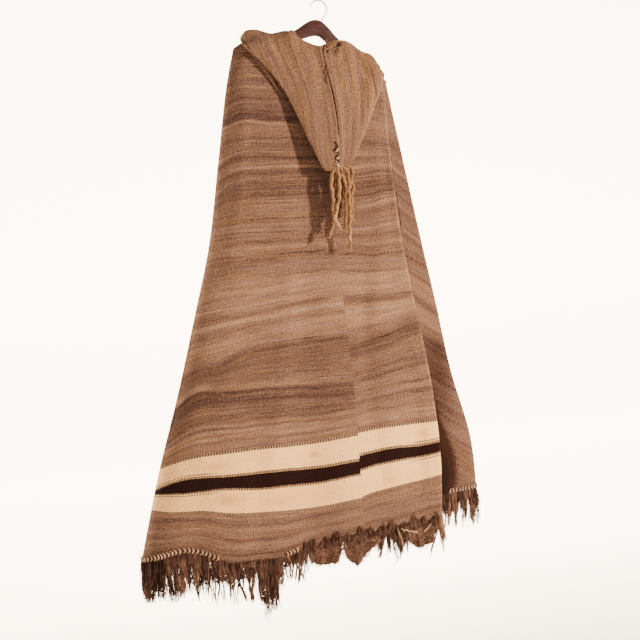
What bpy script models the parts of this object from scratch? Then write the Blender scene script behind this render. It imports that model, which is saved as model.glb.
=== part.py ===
"""Burnous, a hooded cloak of heavy hand-woven wool, hung by its shoulders on a wooden clothes hanger.

Units are metres, +Z is up. The origin is the inner top of the hanger's hook. The cloak's back
faces -Y, and +X is to the right of someone who looks at its back.
"""
import random
from collections import namedtuple
from math import cos, exp, hypot, pi, radians, sin, sqrt

import bmesh
import bpy
import numpy as np
from mathutils import Vector

# ---------------------------------------------------------------- driving dimensions
WALL = 0.003                  # thickness of the wool cloth
GAP = 0.0003                  # clearance between pieces that meet
HALF_GAP = GAP / 2

HANGER_TILT = radians(13)     # the +X arm hangs lower
HANGER_APEX = (0.008, -0.045)  # x, z of the top of the wood, under the hook
ARM_LENGTH = 0.165            # along the hanger's own width, centre to end
ARM_SLOPE = 0.48
APEX_ROUND = 0.012
NECK_RISE = 0.020             # how far the neck stands above the arms' line
NECK_WIDTH = 0.035
WOOD_HALF = 0.006             # half the wood's thickness
NECK_HEIGHT = 0.043           # of the wood, at its middle
ARM_HEIGHT = 0.020            # and along its arms
ARM_TAPER = 0.085             # run over which the one becomes the other
ARM_END_SHARE = 0.72          # of the full section, left at each rounded end

HOOK_WIRE = 0.0018            # radius
HOOK_RADIUS = 0.0215          # of the loop's centre line
HOOK_HOLE_DEPTH = 0.016
HOOK_SWEEP = (172, -48)       # degrees from +X, from the hook's free end round to its shank
SHANK_RISE = 0.004            # straight shank above the wood
SHANK_BEND = 0.001            # how far the wire bows towards the shank

CLOTH_LIFT = 0.0006           # cloth's inner face above the wood
LEFT_REACH = 0.038            # cloth beyond the left arm's end
RIGHT_REACH = 0.026           # and beyond the right one's
SHOULDER_ROUND = 0.024        # drop over which the cloth opens out from the shoulder line
END_DROOP = 9.0               # how fast the cloth's top line falls past the arm's end
NECK_HALF = 0.074             # half width of the neck opening, along the hanger
NECK_SWING = 0.014            # run over which the cloth leaves the top of the wood
NECK_STANDOFF = 0.0115        # cloth's outer face from the wood's middle plane
BACK_NECK_Z = -0.134
FRONT_NECK_Z = -0.200
FRONT_TOP_HALF = 0.016        # half the front opening's width at the neck
SETTLE_DROP = 0.090           # drop over which a column leaves the shoulder line for its plan
WAVES_START_Z = -0.25         # the hanging waves grow from here
WAVES_RUN = 1.10              # to their full depth this far down
HEM_LOOK_Z = -1.33            # height at which a column's place along the hem is read

RIDGE_TOP_X = 0.150           # the right fold, on the shoulder line
TURN_IN = 0.012               # it turns in by this much, from the chest down
TURN_IN_TOP = 0.0055          # and by this much at the shoulder
TURN_IN_START_Z = -0.21       # the one becomes the other from here
TURN_IN_RUN = 0.14
VALLEY_DEPTH = 0.006          # behind the right fold, and this share of the tuck more
VALLEY_SHARE = 0.5
VALLEY_BESIDE = 0.004
SIDE_EDGE_Y = 0.004           # the right front's outermost line
SIDE_ROUND = 0.034            # run over which it rounds to the front
LEFT_STRAIGHT = 0.5           # share of the columns on a panel's straight part
RIGHT_STRAIGHT = 0.72
LEFT_COLUMNS = 16
RIGHT_COLUMNS = 14
FRINGE_STRIP = 0.006          # height of the woven edge that roots the fringe
BRAID_HEIGHT = 0.014
BRAID_THICK = 0.0025

# Plan of the cloak at a height z. left: the left fold's edge; roll: how far that fold's rounding
# reaches; seam: the centre back seam; ridge: the right fold; tuck: how deep the cloth goes in
# behind it; side: the right front's outer edge; back and front: y of the two faces; open_l and
# open_r: the front opening's edges.
Level = namedtuple("Level", "z left roll seam ridge tuck side back front open_l open_r")
LEVELS = (
    Level(-0.100, -0.214, 0.020, 0.000, 0.136, 0.000, 0.152, -0.021, 0.020, -0.016, 0.016),
    Level(-0.205, -0.238, 0.045, 0.000, 0.150, 0.000, 0.171, -0.031, 0.024, -0.018, 0.018),
    Level(-0.380, -0.267, 0.060, 0.002, 0.163, 0.000, 0.207, -0.038, 0.032, -0.022, 0.022),
    Level(-0.600, -0.305, 0.072, 0.006, 0.185, 0.002, 0.252, -0.044, 0.038, -0.026, 0.026),
    Level(-0.750, -0.345, 0.080, 0.018, 0.211, 0.004, 0.284, -0.048, 0.042, -0.030, 0.030),
    Level(-0.940, -0.397, 0.088, 0.032, 0.243, 0.009, 0.322, -0.053, 0.046, -0.034, 0.034),
    Level(-1.120, -0.452, 0.096, 0.037, 0.260, 0.022, 0.371, -0.058, 0.050, -0.038, 0.038),
    Level(-1.350, -0.511, 0.100, 0.041, 0.258, 0.032, 0.387, -0.062, 0.054, -0.042, 0.042),
)

# Where the cloth ends, along the back and along the two fronts.
Hem = namedtuple("Hem", "x z")
BACK_HEM = (
    Hem(-0.511, -1.336), Hem(-0.470, -1.322), Hem(-0.415, -1.311), Hem(-0.370, -1.322),
    Hem(-0.330, -1.340), Hem(-0.300, -1.349), Hem(-0.235, -1.354), Hem(-0.174, -1.356),
    Hem(-0.104, -1.339), Hem(0.006, -1.324), Hem(0.120, -1.318), Hem(0.260, -1.311),
)
FRONT_LEFT_HEM = (Hem(-0.511, -1.336), Hem(-0.400, -1.318), Hem(-0.220, -1.300), Hem(-0.040, -1.286))
SIDE_HEM_Z = -1.262           # the right front's hem at its outer edge
FRONT_RIGHT_HEM_Z = -1.280    # and at the front opening

# Soft hanging waves: amplitude at the hem, wave length, phase.
Wave = namedtuple("Wave", "depth length phase")
BACK_WAVES = (Wave(0.0040, 0.310, 0.6), Wave(0.0022, 0.145, 2.1))
FRONT_WAVES = (Wave(0.0070, 0.150, 0.3), Wave(0.0040, 0.083, 1.2))

# The hood, turned down over the back: its edges by height, and its mouth's line by x.
HoodEdge = namedtuple("HoodEdge", "z left seam right")
HOOD_EDGES = (
    HoodEdge(-0.070, -0.196, -0.024, 0.110),
    HoodEdge(-0.115, -0.188, -0.018, 0.134),
    HoodEdge(-0.160, -0.153, -0.009, 0.146),
    HoodEdge(-0.215, -0.113, 0.004, 0.139),
    HoodEdge(-0.275, -0.084, 0.013, 0.112),
    HoodEdge(-0.345, -0.056, 0.015, 0.077),
    HoodEdge(-0.404, -0.032, 0.011, 0.043),
)
HoodTop = namedtuple("HoodTop", "x z y")
HOOD_MOUTH = (
    HoodTop(-0.205, -0.100, -0.006), HoodTop(-0.190, -0.079, -0.005), HoodTop(-0.168, -0.073, -0.005),
    HoodTop(-0.128, -0.083, -0.014), HoodTop(-0.084, -0.082, -0.032), HoodTop(-0.058, -0.104, -0.049),
    HoodTop(-0.014, -0.121, -0.064), HoodTop(0.012, -0.111, -0.063), HoodTop(0.046, -0.104, -0.049),
    HoodTop(0.098, -0.123, -0.024), HoodTop(0.134, -0.144, -0.025), HoodTop(0.150, -0.182, -0.036),
)
HOOD_TIP_Z = -0.404
HOOD_STANDOFF = 0.030         # the point's distance from the back
HOOD_DEPTH = 0.039            # bag's depth at the shoulders
HOOD_TIP_DEPTH = 0.0095
HOOD_ROLL = 0.050             # drop over which the outer layer rolls over the shoulder
SEAM_RIDGE = 0.0025
HOOD_CLEARANCE = 0.0007       # inner layer to the cloak, where it lies on it
HOOD_TOP_CLEARANCE = 0.0060   # and more at the neck and shoulders
HOOD_LEAVES_Z = -0.200        # below this the hood stands away from the cloak

MATERIALS = {                 # colour, roughness, metallic
    "wool": ((0.36, 0.22, 0.14), 0.95, 0.0),
    "hood_wool": ((0.42, 0.27, 0.16), 0.95, 0.0),
    "fringe_wool": ((0.13, 0.07, 0.05), 0.95, 0.0),
    "cord_wool": ((0.50, 0.33, 0.18), 0.95, 0.0),
    "braid_wool": ((0.62, 0.44, 0.28), 0.90, 0.0),
    "dark_wood": ((0.10, 0.025, 0.015), 0.40, 0.0),
    "hook_steel": ((0.70, 0.68, 0.64), 0.30, 1.0),
}


# ---------------------------------------------------------------- helpers
def clear_scene():
    for obj in list(bpy.data.objects):
        bpy.data.objects.remove(obj, do_unlink=True)


def make_materials():
    made = {}
    for name, (colour, roughness, metallic) in MATERIALS.items():
        material = bpy.data.materials.new(name)
        material.use_nodes = True
        shader = material.node_tree.nodes["Principled BSDF"]
        shader.inputs["Base Color"].default_value = (*colour, 1.0)
        shader.inputs["Roughness"].default_value = roughness
        shader.inputs["Metallic"].default_value = metallic
        made[name] = material
    return made


def smooth_step(t):
    t = min(max(t, 0.0), 1.0)
    return t * t * (3 - 2 * t)


def curve_through(xs, ys):
    """A smooth function through the points, with straight ends."""
    xs, ys = np.array(xs, float), np.array(ys, float)
    order = np.argsort(xs)
    xs, ys = xs[order], ys[order]
    slopes = np.gradient(ys, xs)

    def value(x):
        x = min(max(x, xs[0]), xs[-1])
        k = min(max(int(np.searchsorted(xs, x)) - 1, 0), len(xs) - 2)
        run = xs[k + 1] - xs[k]
        t = (x - xs[k]) / run
        return float((1 + 2 * t) * (1 - t) ** 2 * ys[k] + t * (1 - t) ** 2 * run * slopes[k]
                     + t * t * (3 - 2 * t) * ys[k + 1] + t * t * (t - 1) * run * slopes[k + 1])
    return value


def columns(rows):
    """One smooth function of the first column for each other column of a table."""
    names = rows[0]._fields
    first = [row[0] for row in rows]
    return {name: curve_through(first, [row[k] for row in rows]) for k, name in enumerate(names)}


plan = columns(LEVELS)
back_hem_z = curve_through([h.x for h in BACK_HEM], [h.z for h in BACK_HEM])
front_left_hem_z = curve_through([h.x for h in FRONT_LEFT_HEM], [h.z for h in FRONT_LEFT_HEM])
hood_edge = columns(HOOD_EDGES)
mouth_z = curve_through([m.x for m in HOOD_MOUTH], [m.z for m in HOOD_MOUTH])
mouth_y = curve_through([m.x for m in HOOD_MOUTH], [m.y for m in HOOD_MOUTH])


def waves(table, x, z):
    """Hanging waves that grow from nothing at the shoulders to their full depth at the hem."""
    grow = smooth_step((WAVES_START_Z - z) / WAVES_RUN)
    return grow * sum(w.depth * sin(2 * pi * x / w.length + w.phase) for w in table)


def spline(points, steps):
    """A smooth line through plan points, with the given number of steps in each span."""
    pts = [Vector(points[0]) * 2 - Vector(points[1])] + [Vector(p) for p in points]
    pts.append(Vector(points[-1]) * 2 - Vector(points[-2]))
    line = []
    for k, count in enumerate(steps):
        p0, p1, p2, p3 = pts[k:k + 4]
        d1 = (p2 - p0) * (p2 - p1).length / max((p2 - p1).length + (p1 - p0).length, 1e-9)
        d2 = (p3 - p1) * (p2 - p1).length / max((p3 - p2).length + (p2 - p1).length, 1e-9)
        for step in range(count):
            t = step / count
            line.append(p1 * ((1 + 2 * t) * (1 - t) ** 2) + d1 * (t * (1 - t) ** 2)
                        + p2 * (t * t * (3 - 2 * t)) + d2 * (t * t * (t - 1)))
    line.append(pts[-2])
    return line


# ---------------------------------------------------------------- the hanger's line
def arm_top(t):
    """Height of the wood's top above its apex, t along the hanger's own width."""
    shoulder = NECK_RISE * (1 - exp(-(t / NECK_WIDTH) ** 2))
    return -ARM_SLOPE * (hypot(t, APEX_ROUND) - APEX_ROUND) - shoulder


def hang(t, up):
    """World x, z of a point of the hanger, t across and up above its apex."""
    return (HANGER_APEX[0] + t * cos(HANGER_TILT) + up * sin(HANGER_TILT),
            HANGER_APEX[1] - t * sin(HANGER_TILT) + up * cos(HANGER_TILT))


def shoulder_points():
    points = []
    for t in np.linspace(-ARM_LENGTH - LEFT_REACH, ARM_LENGTH + RIGHT_REACH, 121):
        slope = (arm_top(t + 0.001) - arm_top(t - 0.001)) / 0.002
        lift = (CLOTH_LIFT + WALL) * hypot(1, slope)
        past = max(abs(t) - ARM_LENGTH, 0.0)
        points.append((t, *hang(t, arm_top(t) + lift - END_DROOP * past * past)))
    return np.array(points)


SHOULDER = shoulder_points()                     # columns: t, x, z of the cloth's top line
LEFT_TOP_X, RIGHT_TOP_X = float(SHOULDER[0, 1]), float(SHOULDER[-1, 1])
NECK_DIP_RATE = 1.8           # the neck's lowest part is level over its middle


def shoulder_z(x):
    return float(np.interp(x, SHOULDER[:, 1], SHOULDER[:, 2]))


def along_hanger(x):
    return float(np.interp(x, SHOULDER[:, 1], SHOULDER[:, 0]))


def top_line(x, neck_z, side, half=NECK_HALF, dip_rate=NECK_DIP_RATE):
    """z and y of the cloth's top edge at x. side is -1 for the back and 1 for the fronts."""
    t = abs(along_hanger(x))
    y = side * NECK_STANDOFF * smooth_step((half + NECK_SWING - t) / NECK_SWING)
    dip = smooth_step((half - t) / half * dip_rate)
    z = shoulder_z(x)
    return z + (min(neck_z, z) - z) * dip, y + side * HALF_GAP


def opened(y, y_top, drop):
    """y of a face that starts at y_top on the shoulder line and rounds out to y below it."""
    t = min(drop / SHOULDER_ROUND, 1.0)
    return y_top + (y - y_top) * sqrt(1 - (1 - t) ** 2)


ROW_DROPS = (0.0, 0.0025, 0.007, 0.014, 0.025, 0.042, 0.068)   # rows close together at the top
LOWER_ROWS = 11


def row_heights(z_top, z_hem):
    last = z_top - ROW_DROPS[-1]
    lower = [last + (z_hem - last) * k / LOWER_ROWS for k in range(1, LOWER_ROWS + 1)]
    return [z_top - drop for drop in ROW_DROPS] + lower


def settle(x_plan, x_top, x_plan_top, drop):
    """x of a column that starts at x_top on the shoulder line and joins its plan below it."""
    fade = max(1 - drop / SETTLE_DROP, 0.0) ** 2
    return x_plan + (x_top - x_plan_top) * fade


# ---------------------------------------------------------------- panels as grids of points
def back_point(f, z, left):
    """Plan point of the back. f runs from the seam, 0, to the left fold or the right ridge, 1."""
    seam = plan["seam"](z)
    if left:
        edge = plan["left"](z)
        straight = 1 - plan["roll"](z) / (seam - edge)
        if f <= LEFT_STRAIGHT:
            across, shape = f / LEFT_STRAIGHT * straight, 1.0
        else:
            angle = (f - LEFT_STRAIGHT) / (1 - LEFT_STRAIGHT) * pi / 2
            across, shape = straight + (1 - straight) * sin(angle), cos(angle)
        x = seam + (edge - seam) * across
        return x, plan["back"](z) * shape - waves(BACK_WAVES, x, z) * shape
    edge = plan["ridge"](z)
    lower = smooth_step((TURN_IN_START_Z - z) / TURN_IN_RUN)
    turn_in = TURN_IN_TOP + (TURN_IN - TURN_IN_TOP) * lower
    straight = 1 - TURN_IN / (edge - seam)
    if f <= RIGHT_STRAIGHT:
        across, turn = f / RIGHT_STRAIGHT * straight, 0.0
    else:
        angle = (f - RIGHT_STRAIGHT) / (1 - RIGHT_STRAIGHT) * pi / 2
        across, turn = straight + (1 - straight) * sin(angle), 1 - cos(angle)
    x = seam + (edge - seam) * across
    return x, plan["back"](z) - waves(BACK_WAVES, x, z) + turn_in * turn


def back_grid(left):
    count = LEFT_COLUMNS if left else RIGHT_COLUMNS
    end_x = LEFT_TOP_X if left else RIDGE_TOP_X
    from_seam = -HALF_GAP if left else HALF_GAP
    grid = []
    for k in range(count + 1):
        f = k / count
        x_top = plan["seam"](BACK_NECK_Z) * (1 - f) + end_x * f
        z_top, y_top = top_line(x_top, BACK_NECK_Z, -1)
        z_hem = back_hem_z(back_point(f, HEM_LOOK_Z, left)[0])
        x_plan_top = back_point(f, z_top, left)[0]
        column = []
        for z in row_heights(z_top, z_hem):
            x, y = back_point(f, z, left)
            drop = z_top - z
            x = settle(x, x_top, x_plan_top, drop) + (from_seam if k == 0 else 0.0)
            column.append(Vector((x, opened(y, y_top, drop), z)))
        grid.append(column)
    if left:
        for point in grid[-1]:
            point.y = -HALF_GAP
    return grid


def front_left_grid():
    count = LEFT_COLUMNS
    grid = []
    for k in range(count + 1):
        f = k / count
        x_top = -FRONT_TOP_HALF * (1 - f) + LEFT_TOP_X * f
        z_top, y_top = top_line(x_top, FRONT_NECK_Z, 1)

        def point(z):
            near, far = plan["open_l"](z), plan["left"](z)
            straight = 1 - plan["roll"](z) / (near - far)
            if f <= LEFT_STRAIGHT:
                across, shape = f / LEFT_STRAIGHT * straight, 1.0
            else:
                angle = (f - LEFT_STRAIGHT) / (1 - LEFT_STRAIGHT) * pi / 2
                across, shape = straight + (1 - straight) * sin(angle), cos(angle)
            x = near + (far - near) * across
            return x, (plan["front"](z) + waves(FRONT_WAVES, x, z)) * shape
        x_hem = point(HEM_LOOK_Z)[0]
        z_hem = back_hem_z(x_hem) if k == count else front_left_hem_z(x_hem)
        x_plan_top = point(z_top)[0]
        column = []
        for z in row_heights(z_top, z_hem):
            x, y = point(z)
            drop = z_top - z
            column.append(Vector((settle(x, x_top, x_plan_top, drop), opened(y, y_top, drop), z)))
        grid.append(column)
    for point in grid[-1]:
        point.y = HALF_GAP
    return grid


FRONT_RIGHT_STEPS = (4, 7, 4, 9)   # columns from the ridge to the tuck, the side, the front, the edge
SIDE_COLUMN = FRONT_RIGHT_STEPS[0] + FRONT_RIGHT_STEPS[1]
FRONT_WAVE_COLUMNS = 6             # columns over which the front's waves begin
SIDE_HEM_RATE = 2.2                # how soon the hem behind the fold reaches the side's height


def front_right_section(z):
    ridge, tuck, side = plan["ridge"](z), plan["tuck"](z), plan["side"](z)
    start = back_point(1.0, z, False)[1]
    valley_y = start + VALLEY_DEPTH + VALLEY_SHARE * tuck
    front = plan["front"](z)
    line = spline([(ridge, start), (ridge + VALLEY_BESIDE - tuck, valley_y), (side, SIDE_EDGE_Y),
                   (side - SIDE_ROUND, front), (plan["open_r"](z), front)], FRONT_RIGHT_STEPS)
    wavy = []
    for k, p in enumerate(line):
        share = smooth_step((k - SIDE_COLUMN) / FRONT_WAVE_COLUMNS)
        wavy.append((p.x, p.y + share * waves(FRONT_WAVES, p.x, z)))
    return wavy


def front_right_grid():
    count = sum(FRONT_RIGHT_STEPS)
    ridge_hem = BACK_HEM[-1].z
    grid = []
    for k in range(count + 1):
        if k <= SIDE_COLUMN:
            share = k / SIDE_COLUMN
            x_top = RIDGE_TOP_X + (RIGHT_TOP_X - RIDGE_TOP_X) * share
            z_top = shoulder_z(x_top)
            y_top = -2 * GAP * (1 - share)
            z_hem = ridge_hem + (SIDE_HEM_Z - ridge_hem) * smooth_step(share * SIDE_HEM_RATE)
        else:
            share = (k - SIDE_COLUMN) / (count - SIDE_COLUMN)
            x_top = RIGHT_TOP_X + (FRONT_TOP_HALF - RIGHT_TOP_X) * share
            z_top, y_top = top_line(x_top, FRONT_NECK_Z, 1)
            z_hem = SIDE_HEM_Z + (FRONT_RIGHT_HEM_Z - SIDE_HEM_Z) * share
        x_plan_top = front_right_section(z_top)[k][0]
        column = []
        for z in row_heights(z_top, z_hem):
            x, y = front_right_section(z)[k]
            drop = z_top - z
            column.append(Vector((settle(x, x_top, x_plan_top, drop), opened(y, y_top, drop), z)))
        grid.append(column)
    for point, seam_point in zip(grid[0], back_grid(False)[-1]):
        point.x, point.z = seam_point.x, seam_point.z
        point.y = seam_point.y + GAP
    return grid


# ---------------------------------------------------------------- solids
def link(name, mesh, material, collection):
    obj = bpy.data.objects.new(name, mesh)
    mesh.materials.append(material)
    collection.objects.link(obj)
    return obj


def grid_normals(grid, outward, flat_edges, cyclic=False):
    """Unit normals of a grid of columns. flat_edges names the edges whose normals stay in a plane."""
    columns_n, rows_n = len(grid), len(grid[0])
    normals = []
    for i in range(columns_n):
        line = []
        for j in range(rows_n):
            if cyclic:
                along = grid[(i + 1) % columns_n][j] - grid[i - 1][j]
            else:
                along = grid[min(i + 1, columns_n - 1)][j] - grid[max(i - 1, 0)][j]
            down = grid[i][min(j + 1, rows_n - 1)] - grid[i][max(j - 1, 0)]
            n = along.cross(down)
            if n.length < 1e-12:
                n = Vector((0, 0, 1))
            n.normalize()
            line.append(n * outward)
        normals.append(line)
    for edge, axis in flat_edges.items():
        for i in range(columns_n):
            for j in range(rows_n):
                on_edge = {"first": i == 0, "top": j == 0, "bottom": j == rows_n - 1}[edge]
                if on_edge:
                    n = normals[i][j].copy()
                    n[axis] = 0.0
                    if n.length > 1e-6:
                        normals[i][j] = n.normalized()
    return normals


def wall_mesh(name, outer, inner):
    """A closed wall between two grids of the same size."""
    mesh = bmesh.new()
    n_cols, n_rows = len(outer), len(outer[0])
    out = [[mesh.verts.new(p) for p in column] for column in outer]
    inn = [[mesh.verts.new(p) for p in column] for column in inner]
    for i in range(n_cols - 1):
        for j in range(n_rows - 1):
            mesh.faces.new((out[i][j], out[i + 1][j], out[i + 1][j + 1], out[i][j + 1]))
            mesh.faces.new((inn[i][j], inn[i][j + 1], inn[i + 1][j + 1], inn[i + 1][j]))
        mesh.faces.new((out[i][0], inn[i][0], inn[i + 1][0], out[i + 1][0]))
        mesh.faces.new((out[i][-1], out[i + 1][-1], inn[i + 1][-1], inn[i][-1]))
    for j in range(n_rows - 1):
        mesh.faces.new((out[0][j], out[0][j + 1], inn[0][j + 1], inn[0][j]))
        mesh.faces.new((out[-1][j], inn[-1][j], inn[-1][j + 1], out[-1][j + 1]))
    bmesh.ops.recalc_face_normals(mesh, faces=mesh.faces[:])
    bmesh.ops.triangulate(mesh, faces=mesh.faces[:], quad_method="BEAUTY")
    data = bpy.data.meshes.new(name)
    mesh.to_mesh(data)
    mesh.free()
    return data


def behind_seam(y):
    return min(y, -HALF_GAP)


def before_seam(y):
    return max(y, HALF_GAP)


def any_side(y):
    return y


def cloth_panel(name, grid, outward, flat_edges, edge_normals, keep_side, material, collection):
    normals = grid_normals(grid, outward, flat_edges)
    for column, rule in edge_normals.items():
        for j in range(len(grid[0])):
            normals[column][j] = rule(j)
    inner = [[p - n * WALL for p, n in zip(column, line)] for column, line in zip(grid, normals)]
    for column in inner:                       # the wall stays on its own side of the side seam
        for point in column:
            point.y = keep_side(point.y)
    link(name, wall_mesh(name, grid, inner), material, collection)
    return normals


END_TURNS = (45, 72, 90)      # degrees from upright, row by row


def end_normal(side):
    """Normals of a fold's edge: up at the shoulder, turning to sideways below it."""
    def rule(j):
        turn = radians(END_TURNS[min(j, len(END_TURNS) - 1)])
        return Vector((side * sin(turn), 0.0, cos(turn)))
    return rule


# ---------------------------------------------------------------- hood and tassel
HOOD_HALF = 9                 # columns from each edge to the seam's near side
SEAM_SIDE = 0.005             # the seam's ridge, half width
HOOD_COLUMNS = 2 * HOOD_HALF + 2
EDGE_CROWDING = 0.45          # 0 spaces the columns evenly, 1 crowds them at the edges
HOOD_TOP_SEAM = -0.014        # x of the seam at the mouth
HOOD_TOP_IN = (0.004, 0.001)  # the mouth's ends stand in from its line's ends by this much
LINING_DROP = (0.004, 0.002)  # inner layer's top, below the cloak's neck and below the mouth
TIP_RISE = 0.008              # the point's corners are this much higher than its middle
NEAR_TOP_RUN = 0.045
STANDOFF_POWER = 1.3
BESIDE_HEIGHT = 0.009         # the outer layer passes over the shoulder line from here
BESIDE_RUN = 0.006
BESIDE_WALLS = 2.8            # and stands this many walls off the cloak there
HOOD_DROPS = (0.0, 0.004, 0.011, 0.022, 0.040)
HOOD_LOWER_ROWS = 9
EDGE_SHARE = 0.35             # share of the bag's depth that is on the cloak's side of its edges
TIP_CLOSING = 0.001           # cloth at the closed point is thicker than the wall by this much
HOOD_NECK_HALF = 0.060        # half width of the neck line that the hood is sewn to
HOOD_DIP_RATE = 1.15


def under_hood(x):
    """z and y of the line that the hood is sewn to, a little inside the cloak's neck."""
    return top_line(x, BACK_NECK_Z, -1, HOOD_NECK_HALF, HOOD_DIP_RATE)


def back_face_y(x, z):
    """y of the back's outer face, for what lies on it."""
    z_top, y_top = under_hood(x)
    inward = (x - plan["left"](z)) / plan["roll"](z)
    shape = sqrt(max(1 - (1 - inward) ** 2, 0.0)) if inward < 1 else 1.0
    face = (plan["back"](z) - waves(BACK_WAVES, x, z)) * shape
    return opened(face, y_top, max(z_top - z, 0.0))


def hood_across(k):
    """Column k's share of the way from its edge to the seam, and its distance from the seam."""
    if k == HOOD_HALF + 1:
        return 1.0, 0.0
    step = k if k <= HOOD_HALF else HOOD_COLUMNS - k
    side = -1 if k <= HOOD_HALF else 1
    if step == HOOD_HALF:
        return 1.0, side * SEAM_SIDE
    way = step / HOOD_HALF
    return EDGE_CROWDING * (1 - cos(way * pi / 2)) + (1 - EDGE_CROWDING) * way, 0.0


def hood_x(k, left, seam, right):
    share, beside = hood_across(k)
    edge = left if k <= HOOD_HALF else right
    return edge + (seam - edge) * share + beside


def hood_column(k, outer_layer):
    share = hood_across(k)[0]
    lens = sqrt(max(1 - (1 - share) ** 4, 0.0))
    on_edge = k in (0, HOOD_COLUMNS)
    x_top = hood_x(k, HOOD_MOUTH[0].x + HOOD_TOP_IN[0], HOOD_TOP_SEAM, HOOD_MOUTH[-1].x - HOOD_TOP_IN[1])
    z_mouth, y_mouth = mouth_z(x_top), mouth_y(x_top)
    z_neck = under_hood(x_top)[0]
    z_top = z_mouth if outer_layer or on_edge else min(z_neck - LINING_DROP[0], z_mouth - LINING_DROP[1])
    z_tip = HOOD_TIP_Z + TIP_RISE * (1 - lens)
    x_plan_top = hood_x(k, *(hood_edge[name](z_top) for name in ("left", "seam", "right")))
    last = z_top - HOOD_DROPS[-1]
    heights = [z_top - drop for drop in HOOD_DROPS]
    heights += [last + (z_tip - last) * r / HOOD_LOWER_ROWS for r in range(1, HOOD_LOWER_ROWS + 1)]
    column = []
    for z in heights:
        x = hood_x(k, *(hood_edge[name](z) for name in ("left", "seam", "right")))
        drop = z_top - z
        x = settle(x, x_top, x_plan_top, drop)
        down = min(max((HOOD_MOUTH[0].z - z) / (HOOD_MOUTH[0].z - HOOD_TIP_Z), 0.0), 1.0)
        depth = HOOD_DEPTH + (HOOD_TIP_DEPTH - HOOD_DEPTH) * down
        below = min(max((HOOD_LEAVES_Z - z) / (HOOD_LEAVES_Z - HOOD_TIP_Z), 0.0), 1.0)
        near_top = min(max(1 - (under_hood(x)[0] - z) / NEAR_TOP_RUN, 0.0), 1.0)
        clear = HOOD_CLEARANCE + HOOD_TOP_CLEARANCE * near_top
        inner_face = back_face_y(x, z) - clear - HOOD_STANDOFF * below ** STANDOFF_POWER
        if outer_layer or on_edge:
            y = inner_face - depth * (EDGE_SHARE + (1 - EDGE_SHARE) * lens)
            y -= SEAM_RIDGE if k == HOOD_HALF + 1 else 0.0
            t = min(drop / HOOD_ROLL, 1.0)
            y = y_mouth + (y - y_mouth) * sqrt(1 - (1 - t) ** 2)
            beside = smooth_step((shoulder_z(x) + BESIDE_HEIGHT - z) / BESIDE_RUN)
            y = min(y, (back_face_y(x, z) - clear - BESIDE_WALLS * WALL) * beside)
        else:
            y = inner_face - EDGE_SHARE * depth * (1 - lens)
        column.append(Vector((x, y, z)))
    return column


def hood_ring_grid():
    """Columns round the hood: the outer layer from left to right, then the inner layer back."""
    ring = [hood_column(k, True) for k in range(HOOD_COLUMNS + 1)]
    return ring + [hood_column(k, False) for k in range(HOOD_COLUMNS - 1, 0, -1)]


def make_hood(material, collection):
    ring = hood_ring_grid()
    count, rows = len(ring), len(ring[0])
    normals = grid_normals(ring, -1, {}, cyclic=True)
    hollow = [[p - n * WALL for p, n in zip(column, line)] for column, line in zip(ring, normals)]
    for column in hollow:
        column[-1].z += WALL + TIP_CLOSING
    mesh = bmesh.new()
    out = [[mesh.verts.new(p) for p in column] for column in ring]
    inn = [[mesh.verts.new(p) for p in column] for column in hollow]
    for i in range(count):
        following = (i + 1) % count
        for j in range(rows - 1):
            mesh.faces.new((out[i][j], out[following][j], out[following][j + 1], out[i][j + 1]))
            mesh.faces.new((inn[i][j], inn[i][j + 1], inn[following][j + 1], inn[following][j]))
        mesh.faces.new((out[i][0], inn[i][0], inn[following][0], out[following][0]))
    for layer in (out, inn):                   # the closed end at the point
        for k in range(HOOD_COLUMNS):
            corners = [layer[k][-1], layer[k + 1][-1], layer[-k - 1][-1], layer[-k][-1]]
            mesh.faces.new(list(dict.fromkeys(corners)))
    bmesh.ops.recalc_face_normals(mesh, faces=mesh.faces[:])
    bmesh.ops.triangulate(mesh, faces=mesh.faces[:])
    data = bpy.data.meshes.new("hood")
    mesh.to_mesh(data)
    mesh.free()
    link("hood", data, material, collection)
    return ring


# Cords of the tassel: x of the root, x of the free end, length, and how far it bows sideways.
Cord = namedtuple("Cord", "root end length bow")
TASSEL_CORDS = (
    Cord(-0.012, -0.030, 0.160, 0.004), Cord(-0.005, -0.008, 0.136, -0.004),
    Cord(0.002, -0.001, 0.128, 0.004), Cord(0.009, 0.006, 0.140, -0.003),
    Cord(0.016, 0.013, 0.162, 0.004), Cord(0.024, 0.021, 0.214, -0.003),
    Cord(0.031, 0.028, 0.150, 0.005), Cord(0.038, 0.035, 0.132, 0.006),
)
CORD_HALF = 0.0026            # half a cord's thickness
CORD_SWAY = 0.0012            # how far neighbouring cords lie before and behind each other
HEAD_HEIGHT = 0.007           # bound head that roots the cords
HEAD_HALF_DEPTH = 0.0032
HEAD_BESIDE = 0.0015          # head beyond the outer cords
CORD_RINGS = 9


def grow_strand(mesh, root, centres, half_widths, half_depths):
    """Carries a four-sided strand on from the four root vertices and closes its end."""
    ring = root
    for centre, wide, deep in zip(centres, half_widths, half_depths):
        across, through = wide, deep
        corners = (centre - across - through, centre + across - through,
                   centre + across + through, centre - across + through)
        following = [mesh.verts.new(c) for c in corners]
        for a in range(4):
            b = (a + 1) % 4
            mesh.faces.new((ring[a], ring[b], following[b], following[a]))
        ring = following
    mesh.faces.new(ring)


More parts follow.
